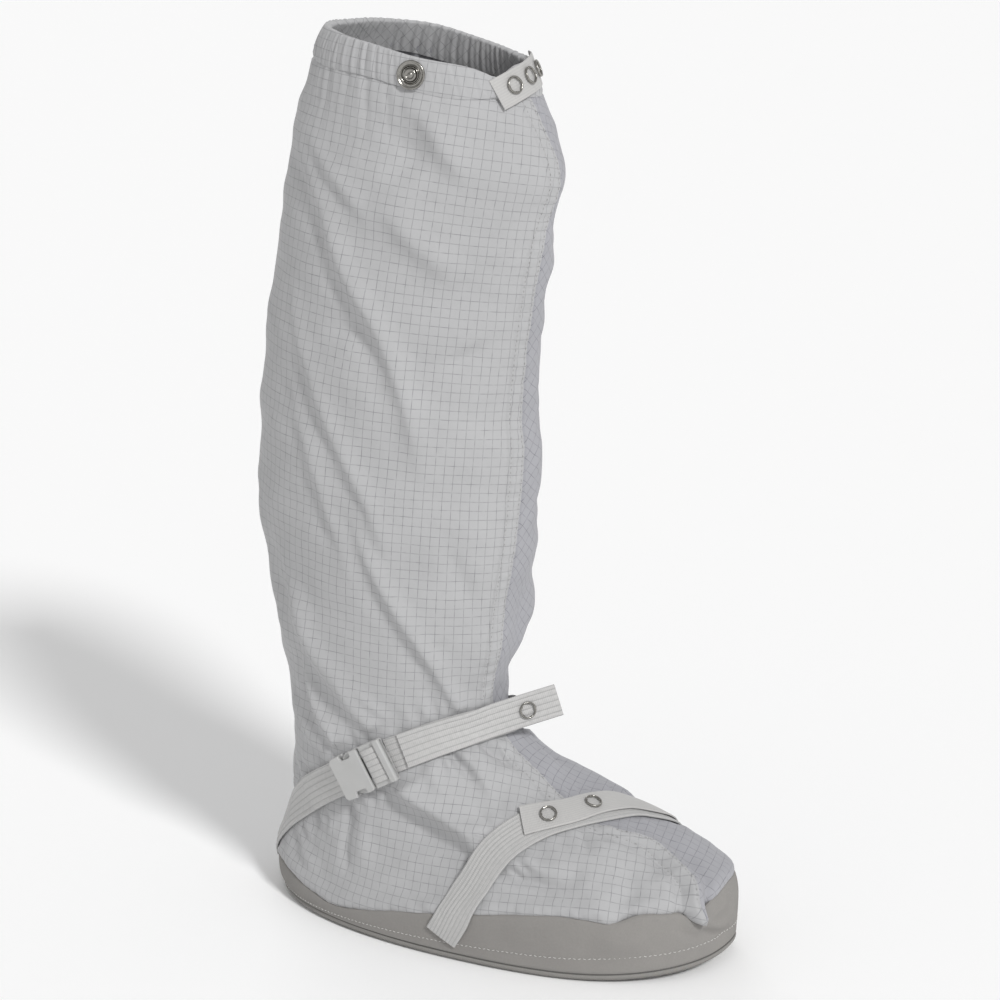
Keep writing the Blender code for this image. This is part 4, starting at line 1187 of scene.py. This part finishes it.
def flat_outline(inset, count):
    """The sole edge in plan, moved in square to itself."""
    turned = full_turn(count)
    plan = np.stack(section_plan(TABLE[0], turned), -1)
    ahead = np.roll(plan, -1, 0) - np.roll(plan, 1, 0)
    outward = unit(np.stack([ahead[:, 1], -ahead[:, 0]], -1))
    side = np.sign((outward * (plan - plan.mean(0))).sum(1))
    return plan - outward * side[:, None] * inset


def on_sole(plan, height):
    """A plan on the curved sole, at a height over its underside."""
    return np.column_stack([plan, sole_lift(plan[:, 0]) + height])


def build_slab(name, profile, surface, node, count=320, rings=9):
    """A flat sole layer: rings from pairs of inset and height, filled above and below by
    copies of its outline that shrink in even shares down to a strip along its middle."""
    middle = flat_outline(0.0, count) * (1, 0)
    middle[:, 0] = np.clip(middle[:, 0], *SOLE_MIDDLE)
    plans = [on_sole(flat_outline(inset, count), height) for inset, height in profile]
    fills = []
    for k in (0, -1):
        shares = np.linspace(0, 1, rings + 1)[1:]
        plan = plans[k][:, :2]
        fills.append([on_sole(plan * (1 - t) + middle * t, profile[k][1]) for t in shares])
    points = np.array(fills[0][::-1] + plans + fills[1])
    faces = quads(len(points), count, True)
    points = points.reshape(-1, 3)
    # Points that meet on the middle strip are made one, and faces without area go.
    spots = np.round(points / (0.01 * MM)).astype(np.int64)
    _, first, same = np.unique(spots, axis=0, return_index=True, return_inverse=True)
    faces = same.reshape(-1)[faces]
    faces = [[c for k, c in enumerate(face) if c != face[k - 1]] for face in faces.tolist()]
    faces = [face for face in faces if len(face) > 2 and len(set(face)) == len(face)]
    points = points[first]
    uv = points[np.concatenate(faces)][:, :2]
    new_piece(name, points, faces, surface, (node,), uv, 40)


def tube(name, line, radius, surface, up=(0.0, 0.0, 1.0), sides=8, joined=False):
    """A round wire or thread: a circle square to a line at each of its points. Its two ends
    are closed, or joined to each other."""
    if joined:
        ahead = unit(np.roll(line, -1, 0) - np.roll(line, 1, 0))
        faces = (quads(len(line) + 1, sides, True) % (len(line) * sides)).tolist()
    else:
        ahead = unit(np.gradient(line, axis=0))
        faces = capped(len(line), sides)
    aside = unit(np.cross(ahead, up))
    turn = full_turn(sides)
    points = line[:, None] + radius * circle_round(turn, aside, np.cross(aside, ahead))
    turn_outwards(new_piece(name, points.reshape(-1, 3), faces, surface))


def stitch_row(name, line, normals, length, surface, slot, slant=0.0):
    """A row of stitches: short six-sided threads with thin ends, one each STITCH_PITCH along
    a line, sunk a little at both ends. Slant turns each second one the other way."""
    run = lengths_along(line)
    count = int(run[-1] / STITCH_PITCH)
    where = (np.arange(count) + 0.5) * run[-1] / count

    def read(rows, at):
        return np.stack([np.interp(at, run, rows[:, i]) for i in range(3)], 1)

    centre = read(line, where)
    out = unit(read(normals, where))
    ahead = read(line, where + 0.5 * MM) - centre
    ahead = unit(ahead - (ahead * out).sum(1)[:, None] * out + 1e-9)
    lean = slant * np.where(np.arange(count) % 2, 1, -1)[:, None]
    along = unit(ahead + lean * np.cross(out, ahead))
    across = np.cross(out, along)
    # Each ring of a stitch: its place along, its half thickness and how far it is sunk
    stations = np.array([-0.5, -0.36, 0.0, 0.36, 0.5])[:, None, None] * length
    swell = np.array([0.35, 0.85, 1.0, 0.85, 0.35])[:, None, None] * THREAD_WIDTH / 2
    sink = np.array([-0.55, 0.0, 0.12, 0.0, -0.55])[:, None, None] * THREAD_WIDTH
    turn = full_turn(6)[:, None]
    centre, along, across, out = (rows[:, None, None] for rows in (centre, along, across, out))
    points = centre + along * stations + across * swell * np.cos(turn)
    points = points + out * (swell * np.sin(turn) + sink)
    one = capped(5, 6)
    faces = [[c + base for c in face] for base in range(0, 30 * count, 30) for face in one]
    new_piece(name, points.reshape(-1, 3), faces, surface, sharp=80)


def on_cloth(number, angle):
    """Points just over the cloth's outer face, and the last's normals there."""
    point, _, _, normal = last_frame(number, angle)
    lift = cloth_lift(number, angle, point) + 0.05 * MM
    return point + normal * lift[:, None], normal


def build_cloth_stitches():
    """Two rows beside the front seam, above and below the strap, and one on each side of the
    back seam: lines at one distance or angle from the seam, as high as the cloth."""
    edge = -1.2 * MM
    fell = 1.0 * MM - FELL_WIDTH
    rows = (
        ("front_seam_stitches_edge", edge, 6.85, STITCH_TOP),
        ("front_seam_stitches_inner", fell, 6.85, STITCH_TOP),
        ("vamp_stitches_edge", edge, 1.3, 5.55),
        ("vamp_stitches_inner", fell, 1.7, 5.55),
        ("back_seam_stitches_a", 3.0, 1.9, STITCH_TOP),
        ("back_seam_stitches_b", 357.0, 1.9, STITCH_TOP),
    )
    for name, offset, low, high in rows:
        number = np.linspace(low, high, SEAM_SAMPLES)
        if name.startswith("back"):
            angle = np.full(SEAM_SAMPLES, math.radians(offset))
        else:
            centre = seam_angle(number)
            angle = centre + offset / np.linalg.norm(last_frame(number, centre)[2], axis=1)
        stitch_row(name, *on_cloth(number, angle), 1.3 * MM, SEAM_THREAD_HOLE_SHADE, "cloth")


def build_band_stitches():
    """The band's topstitch: a line round it at one section number, each second stitch
    slanted the other way."""
    plain = np.linspace(0, 2 * math.pi, BAND_SAMPLES)
    angle = turned_to_seam(np.ones(BAND_SAMPLES), plain)
    number = np.full(BAND_SAMPLES, TOPSTITCH_AT)
    point, _, _, normal = last_frame(number, angle)
    foot = last_point(np.zeros(BAND_SAMPLES), angle)
    point[:, 2] += band_foot(foot, number / (band_edge(angle) + BAND_TUCK))
    lift = band_lift(number, angle, point) + 0.14 * MM
    line = point + normal * lift[:, None]
    stitch_row("band_topstitch", line, normal, 1.6 * MM, WHITE_THREAD, "foxing_twill", 0.3)


def rib_wave(v, ribs, height):
    """Ribs across a strap, v from -1 to 1: |sin| to the power 0.7, height deep in between."""
    return height * (np.abs(np.sin(math.pi * ribs * (v + 1) / 2)) ** 0.7 - 1)


def webbing_solid(name, under, over, surface, slot, nodes, ribs, rib_height):
    """A strap from its coarse grids: both faces read smoothly at more points, the upper one
    lowered between the ribs and towards its rounded edges."""
    steps = max(8, int(lengths_along(over[over.shape[0] // 2])[-1] / STRAP_STEP))
    across = RIBBED_COLUMNS if ribs else PLAIN_COLUMNS
    top = finer(over, across, steps)
    bottom = finer(under, across, steps)
    wall = unit(top - bottom)
    v = np.linspace(-1, 1, across)
    edge = 0.42 * (1 - np.sqrt(1 - np.abs(v) ** 14 * 0.98)) * MM
    rib = rib_wave(v, ribs, rib_height) if ribs else 0.0
    top = top + wall * (rib - edge)[None, :, None]
    bottom = bottom + wall * (0.6 * edge)[None, :, None]
    distance = lengths_along(top[:, across // 2])
    width = lengths_along(top[steps // 2])
    uv = np.stack(np.broadcast_arrays(distance[:, None], width[None, :]), -1)
    grid_solid(name, top[:, ::-1], bottom[:, ::-1], surface, slot, nodes, uv[:, ::-1])


def build_straps():
    """The webbing and the tapes, each laid as its solid is and seated on the solid's faces."""
    webbing = (WEBBING, "webbing", 6, 0.32 * MM)
    fine = (FINE_WEBBING, "webbing", 9, 0.2 * MM)
    tape = (TAPE, "plain_tape", 0, 0)
    narrow = (STRAP_WIDTH, GAP, STRAP_WALL)
    second = 2 * GAP + STRAP_WALL
    upper = (STRAP_WIDTH, second, STRAP_WALL)
    rows = (
        ("webbing_rear", "ankle_strap_rear", REAR_STRAP, 12, narrow, webbing),
        ("webbing_front", "ankle_strap_front", FRONT_STRAP, 30, narrow, webbing),
        ("webbing_end", "ankle_strap_end", FREE_STRAP, 7, upper, webbing),
        ("webbing_instep", "instep_webbing", INSTEP_STRAP, 28, narrow, fine),
        ("tape_instep", "instep_tab", INSTEP_TAB, 20, (TAB_WIDTH, second, TAB_WALL), tape),
        ("tape_collar", "collar_tab", COLLAR_TAB, 12, (TAB_WIDTH, HEM_STEP + GAP, TAB_WALL), tape),
    )
    for name, node, places, steps, size, (surface, slot, ribs, rib_height) in rows:
        grids = strap_grid(places, steps, *size)
        if name == "webbing_end":
            grids = run_on(*grids, FREE_END + 4 * MM, 4, 1 * MM)
        grids = seated(node, *grids)
        webbing_solid(name, *grids, surface, slot, (node,), ribs, rib_height)
        if name == "webbing_rear":
            # The end at the buckle is turned back over itself.
            under, over = (grid[:, 8:] for grid in grids)
            wall = unit(over - under)
            turned = (over + 0.10 * MM * wall, over + (STRAP_WALL + 0.10 * MM) * wall)
            webbing_solid("webbing_rear_turn_back", *turned, surface, slot, (), ribs, rib_height)


# Hardware. Outlines of the buckle's halves: shares of the socket's length from its back, and
# of the buckle's width. The prong's front end, past 1, is at the plug.
SOCKET_HALF = np.array([
    (0.98, 0.46), (0.94, 0.49), (0.74, 0.50), (0.74, 0.40), (0.66, 0.37), (0.42, 0.37),
    (0.38, 0.42), (0.38, 0.50), (0.09, 0.49), (0.02, 0.42),
])
SOCKET_BACK_HALF = np.array([(0.30, 0.36), (0.05, 0.45), (0.05, 0.40)])
PRONG = np.array([
    (0.40, 0.36), (0.44, 0.43), (0.58, 0.485), (0.70, 0.50), (0.70, 0.43), (0.80, 0.38),
    (1.01, 0.38), (1.01, 0.24), (0.46, 0.25),
])
# The stud's section from its centre out and back: shares of its radius and of its height
STUD_SECTION = np.array([
    (0.004, 0.02), (0.90, 0.02), (0.97, 0.12), (1.00, 0.26), (0.985, 0.42), (0.93, 0.50),
    (0.87, 0.46), (0.83, 0.34), (0.74, 0.30), (0.69, 0.34), (0.67, 0.52), (0.63, 0.62),
    (0.585, 0.55), (0.57, 0.30), (0.50, 0.26), (0.46, 0.30), (0.44, 0.78), (0.40, 0.94),
    (0.33, 1.00), (0.27, 0.93), (0.24, 0.76), (0.17, 0.72), (0.12, 0.84), (0.06, 0.90),
    (0.004, 0.91),
])


def buckle_place():
    """Start, along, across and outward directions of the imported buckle."""
    ends = np.array(BUCKLE_ENDS, float)
    first, last = last_point(ends[:, 0], np.radians(ends[:, 1]))
    number, degrees = ends.mean(0)
    _, _, _, normal = last_frame(number, math.radians(degrees))
    along = last - first
    along = unit(along - normal * np.dot(along, normal))
    across = np.cross(normal, along)
    points = node_points("buckle_socket")
    start = along * (points @ along).min() + normal * (points @ normal).min()
    start = start + across * ((points @ across).min() + (points @ across).max()) / 2
    return start, along, across, normal


def to_place(points, place):
    """Local points (along, across, out) moved to a place on the boot."""
    start, along, across, normal = place
    local = np.asarray(points, float)
    return start + local[..., :1] * along + local[..., 1:2] * across + local[..., 2:] * normal


def turned_ring(name, profile, place, node, steps=72, joined=True, inward=None):
    """A profile of radius and height turned round the place's outward direction, joined to
    itself or closed by two caps. Inward gives, for each profile point and angle, how far it
    moves to the centre."""
    profile = np.array(profile, float)
    turn = full_turn(steps)
    radius = np.broadcast_to(profile[:, :1], (len(profile), steps)).copy()
    if inward is not None:
        radius -= inward(profile, turn)
    height = np.broadcast_to(profile[:, 1:], radius.shape)
    local = np.stack([radius * np.cos(turn), radius * np.sin(turn), height], -1)
    points = to_place(local, place).reshape(-1, 3)
    if joined:
        faces = (quads(len(profile) + 1, steps, True) % len(points)).tolist()
    else:
        faces = capped(len(profile), steps)
    turn_outwards(new_piece(name, points, faces, NICKEL, (node,), sharp=55))


def ring_place(node):
    """Centre and directions of a packed ring, from the spread of its points."""
    points = node_points(node)
    centre = points.mean(0)
    _, _, directions = np.linalg.svd(points - centre, full_matrices=False)
    normal = directions[2]
    outward = centre - np.array([-0.05, 0.0, 0.0])
    outward[2] = 0.35 * abs(centre[2]) if centre[2] < 0.15 else 0.0
    if normal @ outward < 0:
        normal = -normal
    along = unit(directions[0])
    spread = points @ normal
    start = centre + normal * (spread.min() - centre @ normal)
    radius = np.linalg.norm(points - centre, axis=1).max()
    return (start, along, np.cross(normal, along), normal), radius, spread.max() - spread.min()


def build_ring_snap(node):
    """A prong-ring snap: a rolled ring with five flattened teeth on its inner side."""
    place, radius, height = ring_place(node)
    half = 0.5 * height
    turn = full_turn(14)
    wire = 0.50 * MM
    profile = np.stack([radius - wire + wire * np.cos(turn), half + half * np.sin(turn)], 1)

    def teeth(profile, turn):
        inner = np.clip((radius - wire - profile[:, :1]) / wire, 0, 1)
        return 0.42 * MM * inner * np.clip(np.cos(5 * turn), 0, 1)[None] ** 2

    turned_ring(node.replace("snap", "ring_snap"), profile, place, node, inward=teeth)


def build_stud():
    """The collar's stud: a rolled flange, a dished plate, a ribbed socket and its dome."""
    place, radius, height = ring_place("collar_stud")
    start, along, across, normal = place
    points = node_points("collar_stud")
    middle = (points.max(0) + points.min(0)) / 2
    start = middle - normal * ((middle - start) @ normal)
    place = (start, along, across, normal)
    profile = STUD_SECTION * (radius, height)
    turned_ring("collar_stud_face", profile, place, "collar_stud", 96, False)
    turn = np.linspace(0.5, 2 * math.pi - 0.5, 40)
    ring = np.stack([0.52 * radius * np.cos(turn), 0.52 * radius * np.sin(turn)], 1)
    line = to_place(np.column_stack([ring, np.full(40, 0.40 * height)]), place)
    tube("collar_stud_spring", line, 0.28 * MM, NICKEL, normal, 10)


def prism(name, outline, low, high, nodes=(), bevel=0.5):
    """A flat moulding of the buckle: an outline between two heights, both shares of the
    buckle's height, its edges rounded by a Bevel."""
    levels = [np.full(len(outline), share * BUCKLE_HEIGHT) for share in (low, high)]
    local = [np.column_stack([outline, level]) for level in levels]
    points = to_place(np.concatenate(local), buckle_place())
    faces = capped(2, len(outline))
    piece = new_piece(name, points, faces, ACETAL, nodes, sharp=30)
    edge = turn_outwards(piece).modifiers.new("rounded edges", "BEVEL")
    edge.width = bevel * MM
    edge.segments = 3
    edge.limit_method = "ANGLE"
    edge.angle_limit = math.radians(40)


def mirrored(half):
    """An outline from its half with across above 0, front to back."""
    return np.concatenate([half, half[::-1] * (1, -1)])


def build_buckle():
    """The fastened side-release buckle: the socket's box with a window each side where a
    prong shows, and the plug's frame with its bar, round which the webbing is looped."""
    size = (SOCKET_LENGTH, BUCKLE_WIDTH)
    body = mirrored(SOCKET_HALF * size)
    prism("buckle_socket_top", body, 0.66, 1.0, ("buckle_socket",))
    prism("buckle_socket_base", body, 0.0, 0.28)
    prism("buckle_socket_back", mirrored(SOCKET_BACK_HALF * size), 0.2, 0.8)
    front = SOCKET_LENGTH + GAP
    prong = PRONG * size
    prong[prong[:, 0] > SOCKET_LENGTH, 0] = front
    prism("buckle_prong_a", prong, 0.32, 0.62, bevel=0.3)
    prism("buckle_prong_b", prong * (1, -1), 0.32, 0.62, bevel=0.3)
    w = BUCKLE_WIDTH
    end = front + PLUG_LENGTH
    plug = mirrored(np.array([(end, 0.46 * w), (end - 0.7 * MM, 0.5 * w), (front, 0.5 * w)]))
    prism("buckle_plug_frame", plug, 0.22, 0.72, ("buckle_plug",), 0.6)
    bar = mirrored(np.array([(end, 0.5 * w), (front + 0.72 * PLUG_LENGTH, 0.5 * w)]))
    prism("buckle_plug_bar", bar, 0.25, 0.98, bevel=0.9)
    build_buckle_loop(front)


def build_buckle_loop(front):
    """The webbing that is looped over the plug's bar: ribbed across, and along it as high as
    a half sine to the power 0.35, so that its two ends turn round."""
    share = np.linspace(0, 1, 15)
    along = front + 0.4 * MM + (0.70 * PLUG_LENGTH - 0.4 * MM) * share
    level = 0.72 * BUCKLE_HEIGHT
    rise = level + 1.35 * MM * np.sin(math.pi * share) ** 0.35
    v = np.linspace(-1, 1, RIBBED_COLUMNS)
    a, b = np.meshgrid(along, v * STRAP_WIDTH / 2, indexing="ij")
    top = np.stack([a, b, rise[:, None] + rib_wave(v, 6, 0.28 * MM)], -1)
    bottom = np.stack([a, b, np.full(a.shape, level - 0.3 * MM)], -1)
    walls = [to_place(grid, buckle_place())[:, ::-1] for grid in (top, bottom)]
    uv = top[:, ::-1, :2]
    grid_solid("webbing_buckle_loop", *walls, WEBBING, "webbing", (), uv)


# Stage, light and camera
def build_stage():
    """A white floor that reaches to the horizon, where the white surroundings begin."""
    line = np.linspace(-30, 30, 7)
    grid = np.stack(np.broadcast_arrays(line[None, :], line[:, None], 0.0), -1)
    mesh = bpy.data.meshes.new("backdrop")
    mesh.from_pydata(grid.reshape(-1, 3).tolist(), [], quads(7, 7).tolist())
    mesh.shade_smooth()
    made, _, _ = start_material("studio_white", False)
    mesh.materials.append(finish(made, rgba("ffffff"), 0.9, Specular_IOR_Level=0.1))
    shown("backdrop", mesh)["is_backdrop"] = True


def far_light(name, place, target, spread, strength):
    """A light from one direction, as softly edged as its spread in degrees."""
    data = bpy.data.lights.new(name, "SUN")
    data.angle = math.radians(spread)
    data.energy = strength
    aim(shown(name, data), place, target)


def aim(thing, place, target):
    """Puts a lamp or camera at a place, looking at a target, level with the floor."""
    way = Vector(target) - Vector(place)
    thing.location = place
    thing.rotation_euler = way.to_track_quat("-Z", "Y").to_euler()


def build_light():
    """White surroundings, and a soft key from above and to the right of the camera that
    grazes the outer side, so that its creases show."""
    bpy.context.scene.view_settings.view_transform = "Standard"
    world = bpy.data.worlds.new("studio")
    world.use_nodes = True
    bpy.context.scene.world = world
    # White near the horizon, so that low views end in white, and dimmer overhead
    tree = world.node_tree
    way = add(tree, "ShaderNodeTexCoord", {}).outputs["Generated"]
    rise = add(tree, "ShaderNodeSeparateXYZ", {0: way}).outputs[2]
    glow = ranged(tree, rise, 0.10, 0.24, 1.0, 0.50)
    fill(tree, tree.nodes["Background"], {"Color": (1.0, 1.0, 1.0, 1.0), "Strength": glow})
    middle = (0.0, 0.0, 0.22)
    far_light("key", (1.65, -1.0, 1.75), middle, 10, 1.90)
    far_light("rim", (-1.2, 1.6, 1.5), middle, 30, 0.35)


# The view is the photograph's: 27 degrees round from the side to the toe, 15.5 above level,
# 1.5 m away, where 1.905 pixels of 1000 span a millimetre. The frame is a little wider.
VIEW_AROUND = 27.0
VIEW_ABOVE = 15.5
VIEW_DISTANCE = 1.5
VIEW_TARGET = (-0.0103, 0.0156, 0.2365)
PIXELS_PER_MM = 1.905
FRAME_PIXELS = 1000
MARGIN = 0.955


def build_camera():
    """The camera at VIEW_DISTANCE from the target, with the lens that gives the pixels."""
    around = math.radians(VIEW_AROUND)
    above = math.radians(VIEW_ABOVE)
    back = np.array(
        [math.sin(around) * math.cos(above), -math.cos(around) * math.cos(above), math.sin(above)]
    )
    data = bpy.data.cameras.new("camera")
    data.sensor_width = 36.0
    data.lens = 36.0 * MARGIN * PIXELS_PER_MM * VIEW_DISTANCE / MM / FRAME_PIXELS
    data.clip_start = 0.05
    data.clip_end = 50
    camera = shown("camera", data)
    target = np.array(VIEW_TARGET)
    aim(camera, tuple(target + back * VIEW_DISTANCE), tuple(target))
    bpy.context.scene.camera = camera


# The boot
NEAR_SPACING = [(0, 0.7), (5, 1.4), (165, 1.3), (174, 0.55), (180, 0.35)]
FAR_SPACING = [(180, 0.45), (186, 0.8), (195, 1.5), (230, 2.1), (350, 2.1), (355, 1.2), (360, 0.7)]
BIAS_TURN = 38


# The sole's rounded edge, from below: inset and height as shares of its thickness
SOLE_EDGE = np.array([
    (1.30, 0), (0.85, 0.03), (0.50, 0.12), (0.20, 0.30), (0.05, 0.50), (0, 0.68), (0.04, 0.86),
    (0.20, 1),
])


def build_boot():
    """Every piece, in the order of making."""
    near = build_panel("upper_outer_panel", 0.0, math.pi, NEAR_SPACING, 0, CLOTH_OUTER)
    turn = (math.pi, 2 * math.pi)
    far = build_panel("upper_inner_panel", *turn, FAR_SPACING, BIAS_TURN, CLOTH_INNER_PAINTED_SHADE)
    build_casing((near, far))
    build_band()
    t = SOLE_THICKNESS
    profile = SOLE_EDGE * t
    build_slab("sole_fabric", profile, SOLE_TWILL, "outsole")
    start = t + GAP
    inset = BAND_WALL + CLOTH_WALL + 5 * GAP
    felt = [(inset, start), (inset, start + INSOLE_THICKNESS)]
    build_slab("insole_felt", felt, FELT, "insole", 160, 6)
    seam = on_sole(flat_outline(0.15 * t, 400), t + 0.5 * GAP)
    # A dark ring in the joint of sole and band: painted shade of the groove there
    tube("sole_seam_shade_ring", seam, 0.42 * MM, SOLE_GROOVE_SHADE, joined=True)
    build_cloth_stitches()
    build_band_stitches()
    build_straps()
    build_buckle()
    for node in sorted(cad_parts):
        if node.startswith("snap_"):
            build_ring_snap(node)
    build_stud()


build_boot()
build_stage()
build_light()
build_camera()
sizes = {"cad": solid_bounds, "visual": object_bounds()}
sizes = {name: [list(corner) for corner in box] for name, box in sizes.items()}
